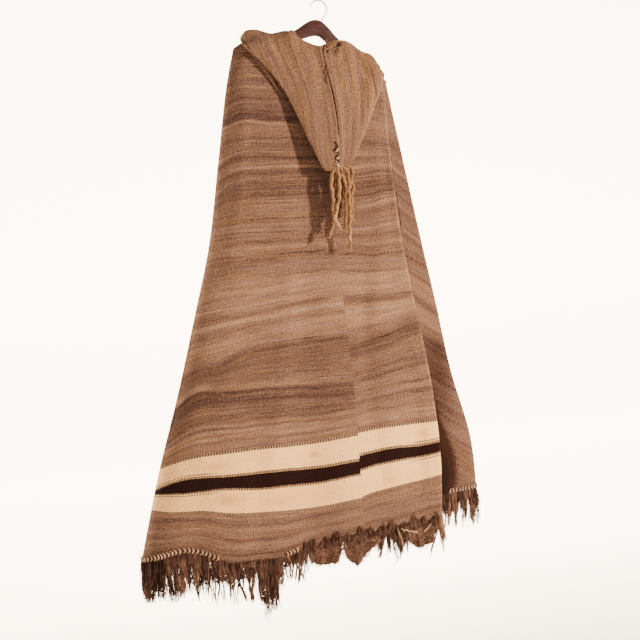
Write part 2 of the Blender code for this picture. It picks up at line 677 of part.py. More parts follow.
def strip_with_strands(name, stations, grow, material, collection):
    """A closed strip along the stations, each (outer top, inner top, outer bottom, inner bottom).
    Every other segment's underside is left open for a strand, which grow carries on from it."""
    mesh = bmesh.new()
    corners = [[mesh.verts.new(p) for p in station] for station in stations]
    for k in range(len(corners) - 1):
        (ot, it, ob, ib), (ot2, it2, ob2, ib2) = corners[k], corners[k + 1]
        mesh.faces.new((ot, ot2, ob2, ob))
        mesh.faces.new((it, ib, ib2, it2))
        mesh.faces.new((ot, it, it2, ot2))
        if k % 2:
            grow(mesh, k // 2, (ob, ob2, ib2, ib))
        else:
            mesh.faces.new((ob, ob2, ib2, ib))
    for ot, it, ob, ib in (corners[0], corners[-1]):
        mesh.faces.new((ot, ob, ib, it))
    bmesh.ops.recalc_face_normals(mesh, faces=mesh.faces[:])
    bmesh.ops.triangulate(mesh, faces=mesh.faces[:])
    data = bpy.data.meshes.new(name)
    mesh.to_mesh(data)
    mesh.free()
    link(name, data, material, collection)


def make_tassel(hood_ring, material, collection):
    tip = [hood_ring[k][-1] for k in range(HOOD_COLUMNS + 1)]
    y_mid = tip[HOOD_HALF].y + HOOD_TIP_DEPTH / 2
    z_top = min(p.z for p in tip) - GAP
    stations = []
    edges = [TASSEL_CORDS[0].root - CORD_HALF - HEAD_BESIDE]
    for cord in TASSEL_CORDS:
        edges += [cord.root - CORD_HALF, cord.root + CORD_HALF]
    edges.append(TASSEL_CORDS[-1].root + CORD_HALF + HEAD_BESIDE)
    for x in edges:
        stations.append([Vector((x, y_mid + side * HEAD_HALF_DEPTH, z))
                         for z in (z_top, z_top - HEAD_HEIGHT) for side in (-1, 1)])

    def grow(mesh, number, root):
        cord = TASSEL_CORDS[number]
        centres = []
        for r in range(1, CORD_RINGS + 1):
            t = r / CORD_RINGS
            x = cord.root + (cord.end - cord.root) * t * t + cord.bow / 2 * sin(pi * t) ** 2
            y = y_mid + (CORD_SWAY if number % 2 else -CORD_SWAY) * sin(pi * t)
            centres.append(Vector((x, y, z_top - HEAD_HEIGHT - cord.length * t)))
        wide = [Vector((CORD_HALF, 0, 0))] * (CORD_RINGS - 1) + [Vector((CORD_HALF * 0.5, 0, 0))]
        deep = [Vector((0, CORD_HALF, 0))] * (CORD_RINGS - 1) + [Vector((0, CORD_HALF * 0.5, 0))]
        grow_strand(mesh, root, centres, wide, deep)
    strip_with_strands("tassel", stations, grow, material, collection)


# ---------------------------------------------------------------- fringe, flaps and braid
# Length of the fringe along the back's hem.
Tuft = namedtuple("Tuft", "x length")
BACK_TUFTS = (
    Tuft(-0.511, 0.092), Tuft(-0.460, 0.108), Tuft(-0.400, 0.112), Tuft(-0.345, 0.096),
    Tuft(-0.300, 0.086), Tuft(-0.255, 0.112), Tuft(-0.200, 0.108), Tuft(-0.165, 0.034),
    Tuft(-0.125, 0.092), Tuft(0.080, 0.050), Tuft(0.110, 0.074), Tuft(0.145, 0.052),
    Tuft(0.240, 0.096), Tuft(0.260, 0.070),
)
# A felted flap of fringe: its span along the hem and its length at the left, the middle and the right.
Flap = namedtuple("Flap", "name x0 x1 left middle right")
FLAPS = (
    Flap("felt_flap_1", -0.104, -0.022, 0.036, 0.054, 0.050),
    Flap("felt_flap_2", -0.016, 0.077, 0.066, 0.068, 0.030),
    Flap("felt_flap_3", 0.158, 0.236, 0.040, 0.062, 0.044),
)
# A run of loose locks: the panel it hangs from, its span in x, the locks in it, their usual length.
Fringe = namedtuple("Fringe", "name panel start stop locks length")
FRINGES = (
    Fringe("fringe_back_left", "back", -0.520, -0.106, 34, None),
    Fringe("fringe_back_middle", "back", 0.081, 0.155, 6, None),
    Fringe("fringe_back_corner", "back", 0.239, 0.262, 2, None),
    Fringe("fringe_front_left", "front_left", -0.042, -0.520, 34, 0.085),
    Fringe("fringe_side_right", "front_right", 0.13, 0.46, 11, 0.080),
    Fringe("fringe_front_right", "front_right", 0.47, 1.0, 24, 0.080),
)
LOCK_SHARE = 0.88             # a lock's share of its pitch
# A lock's rings: how far along it each is, and its share of the lock's width and thickness.
LockRing = namedtuple("LockRing", "along width thickness")
LOCK_RINGS = (LockRing(0.30, 1.00, 1.30), LockRing(0.66, 0.88, 1.15), LockRing(1.00, 0.24, 0.40))
LOCK_HALF_DEPTH = WALL / 2
LOCK_LENGTHS = (0.80, 1.16)   # of the usual length
LOCK_DRIFT = 0.008            # how far a lock's end strays sideways
LOCK_SWING = (-0.001, 0.006)  # and outwards
LOCK_CURVE = 1.6
SNAP_ROOM = 0.0012            # shortest piece of strip left beside a corner of the hem
back_tuft_length = curve_through([t.x for t in BACK_TUFTS], [t.length for t in BACK_TUFTS])


class HemLine:
    """The bottom edge of a panel: points and outward directions by distance along it."""

    def __init__(self, grid, normals):
        self.points = [column[-1] for column in grid]
        self.normals = [line[-1] for line in normals]
        runs = [(b - a).length for a, b in zip(self.points, self.points[1:])]
        self.marks = np.concatenate(([0.0], np.cumsum(runs)))
        self.length = float(self.marks[-1])

    def at(self, s):
        k = min(max(int(np.searchsorted(self.marks, s)) - 1, 0), len(self.points) - 2)
        t = min(max((s - self.marks[k]) / (self.marks[k + 1] - self.marks[k]), 0.0), 1.0)
        normal = self.normals[k].lerp(self.normals[k + 1], t)
        normal.z = 0.0
        return self.points[k].lerp(self.points[k + 1], t), normal.normalized()

    def at_x(self, x):
        """Distance along the hem at which it reaches x, on a panel whose x runs one way."""
        xs = [p.x for p in self.points]
        marks = list(self.marks)
        if xs[0] > xs[-1]:
            xs, marks = xs[::-1], marks[::-1]
        return float(np.interp(x, xs, marks))


def make_fringe(row, hem, generator, material, collection):
    if row.panel == "front_right":
        start, stop = row.start * hem.length, row.stop * hem.length
    else:
        start, stop = hem.at_x(row.start), hem.at_x(row.stop)
    pitch = (stop - start) / (row.locks + 0.5)
    marks = [start]
    for k in range(row.locks):
        first = start + (k + (1 - LOCK_SHARE) / 2 + 0.25) * pitch
        marks += [first, first + LOCK_SHARE * pitch]
    marks.append(stop)
    for corner in hem.marks:                   # the strip turns where the hem turns
        nearest = min(range(1, len(marks) - 1), key=lambda k: abs(marks[k] - corner))
        if marks[nearest - 1] + SNAP_ROOM < corner < marks[nearest + 1] - SNAP_ROOM:
            marks[nearest] = float(corner)
    stations = []
    for s in marks:
        point, normal = hem.at(s)
        down = Vector((0, 0, -GAP))
        outer, inner = point + down, point - normal * WALL + down
        low = Vector((0, 0, -FRINGE_STRIP))
        stations.append([outer, inner, outer + low, inner + low])

    def grow(mesh, number, root):
        middle = sum((v.co for v in root), Vector()) / 4
        across = (root[1].co - root[0].co) / 2
        through = (root[3].co - root[0].co) / 2
        usual = row.length if row.length else back_tuft_length(middle.x)
        length = usual * generator.uniform(*LOCK_LENGTHS) - FRINGE_STRIP
        drift = across.normalized() * generator.uniform(-LOCK_DRIFT, LOCK_DRIFT)
        swing = -through.normalized() * generator.uniform(*LOCK_SWING)
        centres, wide, deep = [], [], []
        for r in LOCK_RINGS:
            down = Vector((0, 0, -length * r.along))
            centres.append(middle + down + (drift + swing) * r.along ** LOCK_CURVE)
            wide.append(across * r.width)
            deep.append(through.normalized() * LOCK_HALF_DEPTH * r.thickness)
        grow_strand(mesh, root, centres, wide, deep)
    strip_with_strands(row.name, stations, grow, material, collection)


FLAP_COLUMNS = 9
FLAP_ROWS = 5
FLAP_ROUNDING = 3.2           # higher makes the flap's end squarer
FLAP_EDGE_SHARE = 0.30        # of its length, left at its sides
FLAP_RIPPLE = 0.0035
FLAP_RIPPLES = 2.3            # across its width
FLAP_SWING = 0.004            # how far its end stands out


def make_flap(flap, hem, material, collection):
    length_at = curve_through([0.0, 0.5, 1.0], [flap.left, flap.middle, flap.right])
    grid = []
    for k in range(FLAP_COLUMNS + 1):
        a = k / FLAP_COLUMNS
        point, normal = hem.at(hem.at_x(flap.x0 + (flap.x1 - flap.x0) * a))
        rounding = sqrt(1 - abs(2 * a - 1) ** FLAP_ROUNDING)
        length = length_at(a) * max(rounding, FLAP_EDGE_SHARE)
        column = []
        for r in range(FLAP_ROWS + 1):
            t = r / FLAP_ROWS
            stand = (FLAP_RIPPLE * sin(2 * pi * FLAP_RIPPLES * a + 2) + FLAP_SWING) * t
            column.append(point + Vector((0, 0, -GAP - length * t)) + normal * stand)
        grid.append(column)
    cloth_panel(flap.name, grid, -1, {}, {}, any_side, material, collection)


BRAID_SECTION = ((0.0, 0.4), (0.18, 1.0), (0.82, 1.0), (1.0, 0.4))   # shares of height, thickness


def make_braid(name, grid, hem, span, material, collection):
    """A flat braid on a panel's outer face, just above its hem, made from the panel's points."""
    inside = [float(s) for s in hem.marks if span[0] + WALL < s < span[1] - WALL]
    outer, inner = [], []
    for s in [span[0], *inside, span[1]]:
        point, normal = hem.at(s)
        k = min(max(int(np.searchsorted(hem.marks, s)) - 1, 0), len(grid) - 2)
        t = min(max((s - hem.marks[k]) / (hem.marks[k + 1] - hem.marks[k]), 0.0), 1.0)
        above = grid[k][-2].lerp(grid[k + 1][-2], t)
        up = (above - point).normalized()
        column_out, column_in = [], []
        for height, thick in BRAID_SECTION:
            base = point + up * (GAP + BRAID_HEIGHT * height) + normal * (GAP * 2)
            column_in.append(base)
            column_out.append(base + normal * BRAID_THICK * thick)
        outer.append(column_out)
        inner.append(column_in)
    link(name, wall_mesh(name, outer, inner), material, collection)


# ---------------------------------------------------------------- hanger and hook
ARM_STATIONS = 26
ROUND_STEPS = 5               # on each rounded edge of the wood
HOOK_STEPS = 18
WIRE_SIDES = 16               # of the hole for the hook


def wood_height(t):
    return NECK_HEIGHT + (ARM_HEIGHT - NECK_HEIGHT) * smooth_step(abs(t) / ARM_TAPER)


def make_hanger(material, collection, cutter_collection):
    mesh = bmesh.new()
    rings = []
    for k in range(ARM_STATIONS + 1):
        t = -ARM_LENGTH + 2 * ARM_LENGTH * k / ARM_STATIONS
        slim = 1.0 if 0 < k < ARM_STATIONS else ARM_END_SHARE
        top, height = arm_top(t), wood_height(t)
        top, height = top - height * (1 - slim) / 2, height * slim
        radius = WOOD_HALF * slim
        ring = []
        for end, sign in ((0.0, 1), (pi, -1)):
            for step in range(ROUND_STEPS + 1):
                angle = end + pi * step / ROUND_STEPS
                up = (top - radius if sign > 0 else top - height + radius) + radius * sin(angle)
                x, z = hang(t, up)
                ring.append(mesh.verts.new((x, -radius * cos(angle), z)))
        rings.append(ring)
    for near, far in zip(rings, rings[1:]):
        for a in range(len(near)):
            b = (a + 1) % len(near)
            mesh.faces.new((near[a], near[b], far[b], far[a]))
    mesh.faces.new(rings[0])
    mesh.faces.new(rings[-1])
    bmesh.ops.recalc_face_normals(mesh, faces=mesh.faces[:])
    data = bpy.data.meshes.new("hanger")
    mesh.to_mesh(data)
    mesh.free()
    wood = link("hanger", data, material, collection)

    bpy.ops.mesh.primitive_cylinder_add(vertices=WIRE_SIDES, radius=HOOK_WIRE + GAP,
                                        depth=2 * HOOK_HOLE_DEPTH,
                                        location=(HANGER_APEX[0], 0, HANGER_APEX[1]),
                                        rotation=(0, HANGER_TILT, 0))
    cutter = bpy.context.object
    cutter.name = "hook_hole_cutter"
    cutter.hide_render = True
    cutter.display_type = "WIRE"
    for owner in list(cutter.users_collection):
        owner.objects.unlink(cutter)
    cutter_collection.objects.link(cutter)
    cut = wood.modifiers.new("hook hole", "BOOLEAN")
    cut.operation = "DIFFERENCE"
    cut.object = cutter
    cut.solver = "EXACT"


def make_hook(material, collection):
    centre_z = HOOK_WIRE - HOOK_RADIUS
    points = []
    for step in range(HOOK_STEPS + 1):
        angle = radians(HOOK_SWEEP[0] + (HOOK_SWEEP[1] - HOOK_SWEEP[0]) * step / HOOK_STEPS)
        points.append(Vector((HOOK_RADIUS * cos(angle), 0, centre_z + HOOK_RADIUS * sin(angle))))
    shank_top = Vector((*hang(0.0, SHANK_RISE), 0)).xzy
    shank_low = Vector((*hang(0.0, -HOOK_HOLE_DEPTH + GAP), 0)).xzy
    bend = points[-1].lerp(shank_top, 0.5) + Vector((SHANK_BEND, 0, 0))
    points += [bend, shank_top, shank_low]
    curve = bpy.data.curves.new("hook", "CURVE")
    curve.dimensions = "3D"
    curve.bevel_depth = HOOK_WIRE
    curve.bevel_resolution = 2
    curve.use_fill_caps = True
    wire = curve.splines.new("POLY")
    wire.points.add(len(points) - 1)
    for point, place in zip(wire.points, points):
        point.co = (*place, 1.0)
    curve.materials.append(material)
    hook = bpy.data.objects.new("hook", curve)
    collection.objects.link(hook)


def build():
    clear_scene()
    made = make_materials()
    parts = bpy.data.collections.new("burnous_on_hanger")
    cutters = bpy.data.collections.new("cutters")
    for collection in (parts, cutters):
        bpy.context.scene.collection.children.link(collection)

    make_hanger(made["dark_wood"], parts, cutters)
    make_hook(made["hook_steel"], parts)

    top_and_hem = {"top": 1, "bottom": 2}
    top_seam_and_hem = {"first": 0, "top": 1, "bottom": 2}
    grids = {"back_left": back_grid(True), "back_right": back_grid(False),
             "front_left": front_left_grid(), "front_right": front_right_grid()}
    recipes = {
        "back_left": (1, top_seam_and_hem, {-1: end_normal(-1)}, behind_seam),
        "back_right": (-1, top_seam_and_hem, {-1: end_normal(1)}, behind_seam),
        "front_left": (-1, top_and_hem, {-1: end_normal(-1)}, before_seam),
        "front_right": (-1, top_and_hem, {0: end_normal(1)}, any_side),
    }
    normals = {}
    for name, (outward, flat_edges, edge_normals, keep_side) in recipes.items():
        normals[name] = cloth_panel(name, grids[name], outward, flat_edges, edge_normals, keep_side,
                                    made["wool"], parts)
    hems = {name: HemLine(grids[name], normals[name]) for name in grids}
    hems["back"] = HemLine(grids["back_left"][::-1] + grids["back_right"],
                           normals["back_left"][::-1] + normals["back_right"])

    hood_ring = make_hood(made["hood_wool"], parts)
    make_tassel(hood_ring, made["cord_wool"], parts)

    generator = random.Random(7)
    for row in FRINGES:
        make_fringe(row, hems[row.panel], generator, made["fringe_wool"], parts)
    for flap in FLAPS:
        make_flap(flap, hems["back"], made["fringe_wool"], parts)

    left_hem, right_hem = hems["back_left"], hems["front_right"]
    braids = {
        "braid_left": ("back_left", (left_hem.at_x(-0.330), left_hem.length - 0.004)),
        "braid_patch": ("back_left", (left_hem.at_x(-0.127), left_hem.at_x(-0.163))),
        "braid_right": ("front_right", (0.20 * right_hem.length, 0.50 * right_hem.length)),
    }
    for name, (panel, span) in braids.items():
        make_braid(name, grids[panel], hems[panel], span, made["braid_wool"], parts)


build()
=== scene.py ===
from math import cos, pi, radians, sin, sqrt

import bmesh
import bpy
import numpy as np
from mathutils import Matrix, Vector


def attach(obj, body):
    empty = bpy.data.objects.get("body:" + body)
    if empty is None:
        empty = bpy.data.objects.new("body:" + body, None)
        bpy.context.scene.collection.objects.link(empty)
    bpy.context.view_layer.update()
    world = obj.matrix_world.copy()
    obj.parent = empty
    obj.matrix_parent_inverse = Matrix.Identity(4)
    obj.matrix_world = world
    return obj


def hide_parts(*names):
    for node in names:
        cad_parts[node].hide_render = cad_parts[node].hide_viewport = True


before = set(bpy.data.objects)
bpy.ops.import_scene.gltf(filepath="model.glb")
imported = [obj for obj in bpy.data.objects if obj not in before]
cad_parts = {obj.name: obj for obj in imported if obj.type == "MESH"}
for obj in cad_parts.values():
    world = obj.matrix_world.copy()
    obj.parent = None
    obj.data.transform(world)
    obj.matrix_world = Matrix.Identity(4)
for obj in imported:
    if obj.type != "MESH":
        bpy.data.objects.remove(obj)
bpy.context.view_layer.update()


# the long tables below are in millimetres or in hundredths
def mm(*values):
    return tuple(mm(*value) if isinstance(value, tuple) else value / 1000 for value in values)


def percent(*values):
    return tuple(percent(*value) if isinstance(value, tuple) else value / 100 for value in values)


# the plan of the cloak, as it hangs: x of its folds and y of its faces at each height
cloak = {
    "wall": 0.003, "skin": 0.0026, "hangerTilt": radians(13), "hangerApex": (0.008, -0.045),
    "armLength": 0.165, "armSlope": 0.48, "apexRound": 0.012, "neckRise": 0.02, "neckWidth": 0.035,
    "lift": 0.0006, "leftReach": 0.038, "rightReach": 0.026, "endDroop": 9.0, "shoulderRound": 0.024,
    "settleDrop": 0.09, "hemZ": -1.33,
    "neckHalf": 0.074, "neckSwing": 0.014, "neckStandoff": 0.0115, "backNeckZ": -0.134,
    "frontNeckZ": -0.2, "frontTopHalf": 0.016, "ridgeTopX": 0.15, "turnIn": 0.012, "turnInTop": 0.0055,
    "halfGap": 0.00002,
    "z": mm(-100, -205, -380, -600, -750, -940, -1120, -1350),
    "left": mm(-214, -238, -267, -305, -345, -397, -452, -511),
    "roll": mm(20, 45, 60, 72, 80, 88, 96, 100),
    "seam": mm(0, 0, 2, 6, 18, 32, 37, 41),
    "ridge": mm(136, 150, 163, 185, 211, 243, 260, 258),
    "tuck": mm(0, 0, 0, 2, 4, 9, 22, 32),
    "side": mm(152, 171, 207, 252, 284, 322, 371, 387),
    "back": mm(-21, -31, -38, -44, -48, -53, -58, -62),
    "front": mm(20, 24, 32, 38, 42, 46, 50, 54),
    "openL": mm(-16, -18, -22, -26, -30, -34, -38, -42),
    "openR": mm(16, 18, 22, 26, 30, 34, 38, 42),
    "backHemX": mm(-511, -470, -415, -370, -330, -300, -235, -174, -104, 6, 120, 260),
    "backHemZ": mm(-1336, -1322, -1311, -1322, -1340, -1349, -1354, -1356, -1339, -1324, -1318, -1311),
    "frontHemX": mm(-511, -400, -220, -40),
    "frontHemZ": mm(-1336, -1318, -1300, -1286),
    "sideHemZ": -1.262, "openHemZ": -1.28, "backWaves": ((0.004, 0.31, 0.6), (0.0022, 0.145, 2.1)),
    "frontWaves": ((0.007, 0.15, 0.3), (0.004, 0.083, 1.2)),
}


def hermite(t, first, last, firstSlope, lastSlope):
    return ((1 + 2 * t) * (1 - t) ** 2 * first + t * (1 - t) ** 2 * firstSlope
            + t * t * (3 - 2 * t) * last + t * t * (t - 1) * lastSlope)


def curveThrough(xs, ys):
    order = np.argsort(xs)
    xs, ys = np.array(xs, float)[order], np.array(ys, float)[order]
    slopes = np.gradient(ys, xs)

    def value(x):
        x = np.clip(x, xs[0], xs[-1])
        k = np.clip(np.searchsorted(xs, x) - 1, 0, len(xs) - 2)
        run = xs[k + 1] - xs[k]
        return hermite((x - xs[k]) / run, ys[k], ys[k + 1], run * slopes[k], run * slopes[k + 1])
    return value


def smoothStep(t):
    t = np.clip(t, 0.0, 1.0)
    return t * t * (3 - 2 * t)


def unit(vectors):
    return vectors / np.maximum(np.linalg.norm(vectors, axis=-1, keepdims=True), 1e-12)


def bell(x, middle, half):
    return np.exp(-((x - middle) / half) ** 2)


def vectors(*parts):
    return np.stack(np.broadcast_arrays(*parts), -1)


def lengthsAlong(points):
    return np.concatenate([[0], np.cumsum(np.linalg.norm(np.diff(points, axis=0), axis=-1))])


plan = {key: curveThrough(cloak["z"], cloak[key]) for key in
        ("left", "roll", "seam", "ridge", "tuck", "side", "back", "front", "openL", "openR")}
backHem = curveThrough(cloak["backHemX"], cloak["backHemZ"])
frontHem = curveThrough(cloak["frontHemX"], cloak["frontHemZ"])


def waves(table, x, z):
    grow = smoothStep((-0.25 - z) / 1.10)
    return grow * sum(depth * np.sin(2 * pi * x / length + phase) for depth, length, phase in table)


# the line of the shoulders over the hanger's arms
def armTop(t):
    shoulder = cloak["neckRise"] * (1 - bell(t, 0, cloak["neckWidth"]))
    return -cloak["armSlope"] * (np.hypot(t, cloak["apexRound"]) - cloak["apexRound"]) - shoulder


def hang(t, up):
    tilt = cloak["hangerTilt"]
    return (cloak["hangerApex"][0] + t * cos(tilt) + up * sin(tilt),
            cloak["hangerApex"][1] - t * sin(tilt) + up * cos(tilt))


along = np.linspace(-cloak["armLength"] - cloak["leftReach"], cloak["armLength"] + cloak["rightReach"], 241)
steepness = (armTop(along + 0.001) - armTop(along - 0.001)) / 0.002
pastArm = np.maximum(np.abs(along) - cloak["armLength"], 0)
shoulderX, shoulderZs = hang(along, armTop(along) + (cloak["lift"] + cloak["wall"]) * np.hypot(1, steepness)
                             - cloak["endDroop"] * pastArm ** 2)
leftTopX, rightTopX = float(shoulderX[0]), float(shoulderX[-1])


def shoulderZ(x):
    return np.interp(x, shoulderX, shoulderZs)


def topLine(x, neckZ, side, half=cloak["neckHalf"], dipRate=1.8):
    t = np.abs(np.interp(x, shoulderX, along))
    y = side * cloak["neckStandoff"] * smoothStep((half + cloak["neckSwing"] - t) / cloak["neckSwing"])
    z = shoulderZ(x)
    return (z + (np.minimum(neckZ, z) - z) * smoothStep((half - t) / half * dipRate),
            y + side * cloak["halfGap"])


def opened(y, yTop, drop):
    t = np.minimum(drop / cloak["shoulderRound"], 1)
    return yTop + (y - yTop) * np.sqrt(np.maximum(1 - (1 - t) ** 2, 0))


# below the shoulder a column comes over from its place on the hanger to its place in the plan
def settle(xPlan, xTop, xPlanTop, drop):
    return xPlan + (xTop - xPlanTop) * np.maximum(1 - drop / cloak["settleDrop"], 0) ** 2


def rowHeights(zTop, zHem, lowerRows):
    drops = np.array(mm(0, .9, 2.5, 4.5, 7, 10.5, 14, 19, 25, 33, 42, 55, 68))
    t = np.arange(1, lowerRows + 1) / lowerRows
    lower = (zTop - drops[-1])[:, None] * (1 - t) + zHem[:, None] * t
    return np.concatenate([zTop[:, None] - drops, lower], 1)


def rounded(f, share, near, far, roll):
    straight = 1 - roll / np.abs(near - far)
    angle = np.clip((f - share) / (1 - share), 0, 1) * pi / 2
    onFlat = f <= share
    across = np.where(onFlat, f / share * straight, straight + (1 - straight) * np.sin(angle))
    return near + (far - near) * across, np.where(onFlat, 1.0, np.cos(angle))


def backPoint(f, z, left):
    seam = plan["seam"](z)
    if left:
        x, shape = rounded(f, 0.5, seam, plan["left"](z), plan["roll"](z))
        return x, (plan["back"](z) - waves(cloak["backWaves"], x, z)) * shape
    turnIn = cloak["turnInTop"] + (cloak["turnIn"] - cloak["turnInTop"]) * smoothStep((-0.21 - z) / 0.14)
    x, shape = rounded(f, 0.72, seam, plan["ridge"](z), cloak["turnIn"] + 0 * z)
    return x, plan["back"](z) - waves(cloak["backWaves"], x, z) + turnIn * (1 - shape)


def finishGrid(f, z, point, xTop, yTop, zTop):
    xPlanTop = point(f[:, None], zTop[:, None])[0]
    x, y = point(f[:, None], z)
    drop = zTop[:, None] - z
    return np.stack([settle(x, xTop[:, None], xPlanTop, drop), opened(y, yTop[:, None], drop), z], -1)


def backGrid(left, columns, rows):
    f = np.linspace(0, 1, columns + 1)
    xTop = plan["seam"](cloak["backNeckZ"]) * (1 - f) + (leftTopX if left else cloak["ridgeTopX"]) * f
    zTop, yTop = topLine(xTop, cloak["backNeckZ"], -1)
    zHem = backHem(backPoint(f, np.full_like(f, cloak["hemZ"]), left)[0])
    grid = finishGrid(f, rowHeights(zTop, zHem, rows), lambda a, b: backPoint(a, b, left), xTop, yTop, zTop)
    grid[0, :, 0] += -cloak["halfGap"] if left else cloak["halfGap"]
    if left:
        grid[-1, :, 1] = -cloak["halfGap"]
    return grid


def frontLeftPoint(f, z):
    x, shape = rounded(f, 0.5, plan["openL"](z), plan["left"](z), plan["roll"](z))
    return x, (plan["front"](z) + waves(cloak["frontWaves"], x, z)) * shape


def frontLeftGrid(columns, rows):
    f = np.linspace(0, 1, columns + 1)
    xTop = -cloak["frontTopHalf"] * (1 - f) + leftTopX * f
    zTop, yTop = topLine(xTop, cloak["frontNeckZ"], 1)
    xHem = frontLeftPoint(f, np.full_like(f, cloak["hemZ"]))[0]
    zHem = frontHem(xHem)
    zHem[-1] = backHem(xHem[-1])
    grid = finishGrid(f, rowHeights(zTop, zHem, rows), frontLeftPoint, xTop, yTop, zTop)
    grid[-1, :, 1] = cloak["halfGap"]
    return grid


# the right front goes round from the back's fold: steps to the tuck, the side, the turn and the opening
spanSteps = (4, 7, 4, 9)
sideColumn = 11


def frontRightPoint(c, z):
    ridge, tuck, side, front = (plan[key](z) for key in ("ridge", "tuck", "side", "front"))
    start = backPoint(np.ones_like(z), z, False)[1]
    knots = [vectors(ridge, start), vectors(ridge + 0.004 - tuck, start + 0.006 + 0.5 * tuck),
             vectors(side, 0.004), vectors(side - 0.034, front), vectors(plan["openR"](z), front)]
    knots = [knots[0] * 2 - knots[1]] + knots + [knots[-1] * 2 - knots[-2]]
    place = np.zeros(z.shape + (2,))
    first = 0
    for k, steps in enumerate(spanSteps):
        gone, run, ahead = (np.linalg.norm(b - a, axis=-1, keepdims=True)
                            for a, b in zip(knots[k:k + 3], knots[k + 1:k + 4]))
        slope = (knots[k + 2] - knots[k]) * run / np.maximum(run + gone, 1e-9)
        nextSlope = (knots[k + 3] - knots[k + 1]) * run / np.maximum(ahead + run, 1e-9)
        t = ((c - first) / steps + 0 * z)[..., None]
        here = hermite(t, knots[k + 1], knots[k + 2], slope, nextSlope)
        place = np.where((t >= 0) & (t <= 1), here, place)
        first += steps
    x, y = place[..., 0], place[..., 1]
    return x, y + smoothStep((c - sideColumn) / 6) * waves(cloak["frontWaves"], x, z)


def frontRightGrid(columns, rows):
    c = np.linspace(0, sum(spanSteps), columns + 1)
    onSide = c <= sideColumn
    share = np.where(onSide, c / sideColumn, (c - sideColumn) / (sum(spanSteps) - sideColumn))
    xTop = np.where(onSide, cloak["ridgeTopX"] + (rightTopX - cloak["ridgeTopX"]) * share,
                    rightTopX + (cloak["frontTopHalf"] - rightTopX) * share)
    zFront, yFront = topLine(xTop, cloak["frontNeckZ"], 1)
    zTop = np.where(onSide, shoulderZ(xTop), zFront)
    yTop = np.where(onSide, -4 * cloak["halfGap"] * (1 - share), yFront)
    ridgeHem = cloak["backHemZ"][-1]
    zHem = np.where(onSide, ridgeHem + (cloak["sideHemZ"] - ridgeHem) * smoothStep(share * 2.2),
                    cloak["sideHemZ"] + (cloak["openHemZ"] - cloak["sideHemZ"]) * share)
    grid = finishGrid(c, rowHeights(zTop, zHem, rows), frontRightPoint, xTop, yTop, zTop)
    grid[0] = backGrid(False, 8, rows)[-1] + np.array([0, 2 * cloak["halfGap"], 0])
    return grid


def gridNormals(grid, outward):
    return unit(np.cross(np.gradient(grid, axis=0), np.gradient(grid, axis=1)) * outward)


def arcAcross(grid):
    steps = np.linalg.norm(np.diff(grid[..., :2], axis=0), axis=-1)
    return np.concatenate([np.zeros((1, grid.shape[1])), np.cumsum(steps, 0)], 0)


def fromEnds(count):
    return np.minimum(np.arange(count), np.arange(count)[::-1])


# soft troughs (below 0) and ridges (above 0) pressed into a sheet, each along its own line
def pressed(grid, creases):
    x, z = grid[..., 0], grid[..., 2]
    height = np.zeros_like(x)
    for x0, z0, x1, z1, width, depth in creases:
        run = np.array([x1 - x0, z1 - z0])
        length = float(np.linalg.norm(run))
        t = ((x - x0) * run[0] + (z - z0) * run[1]) / length ** 2
        bow = 0.03 * length * np.sin(pi * np.clip(t, 0, 1)) * (1 if depth > 0 else -1)
        off = ((x - x0) * run[1] - (z - z0) * run[0]) / length + bow
        height += depth * bell(off, 0, width) * smoothStep((t + 0.15) / 0.35) * smoothStep((1.15 - t) / 0.35)
    return height


def meshOf(name, places, faces):
    mesh = bpy.data.meshes.new(name)
    mesh.from_pydata(places.reshape(-1, 3).tolist(), [], faces)
    mesh.shade_smooth()
    return mesh


def outwardFaces(mesh, weld=0.0):
    work = bmesh.new()
    work.from_mesh(mesh)
    if weld:
        bmesh.ops.remove_doubles(work, verts=work.verts[:], dist=weld)
    bmesh.ops.recalc_face_normals(work, faces=work.faces[:])
    work.to_mesh(mesh)
    work.free()


def link(name, mesh, material):
    piece = bpy.data.objects.new(name, mesh)
    mesh.materials.append(material)
    bpy.context.scene.collection.objects.link(piece)
    return piece


# a piece on the one body that there is, with the CAD node that it takes the place of
def dress(name, mesh, material, nodeName=None):
    piece = link(name, mesh, material)
    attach(piece, "root")
    if nodeName:
        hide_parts(nodeName)
    return piece


def camelName(nodeName):
    return "".join(word.capitalize() if k else word for k, word in enumerate(nodeName.split("_")))


def quadStrip(a, b, columns, rows, flip):
    i, j = np.meshgrid(np.arange(columns - 1), np.arange(rows - 1), indexing="ij")
    order = ((0, 0), (1, 0), (1, 1), (0, 1)) if flip else ((0, 0), (0, 1), (1, 1), (1, 0))
    return np.stack([(a + (i + p) * rows + (j + q)).ravel() for p, q in order], -1)


# a thin closed skin: the outer grid, an inner one behind it, and their rim
def skinMesh(name, outer, normals, flip, keepSide=None):
    columns, rows = outer.shape[:2]
    inner = outer - normals * cloak["skin"]
    if keepSide is not None:
        inner[..., 1] = keepSide(inner[..., 1])
    count = columns * rows
    ring = [(i, 0) for i in range(columns)] + [(columns - 1, j) for j in range(1, rows)]
    ring += [(i, rows - 1) for i in range(columns - 2, -1, -1)] + [(0, j) for j in range(rows - 2, 0, -1)]
    ring = np.array([i * rows + j for i, j in ring])
    following = np.roll(ring, -1)
    rim = np.stack([ring, following, following + count, ring + count], -1)
    faces = [quadStrip(0, 0, columns, rows, flip), quadStrip(count, 0, columns, rows, not flip),
             rim[:, ::-1] if flip else rim]
    mesh = meshOf(name, np.stack([outer, inner]), np.concatenate(faces).tolist())
    mesh.validate()
    mesh.set_sharp_from_angle(angle=radians(50))
    return mesh


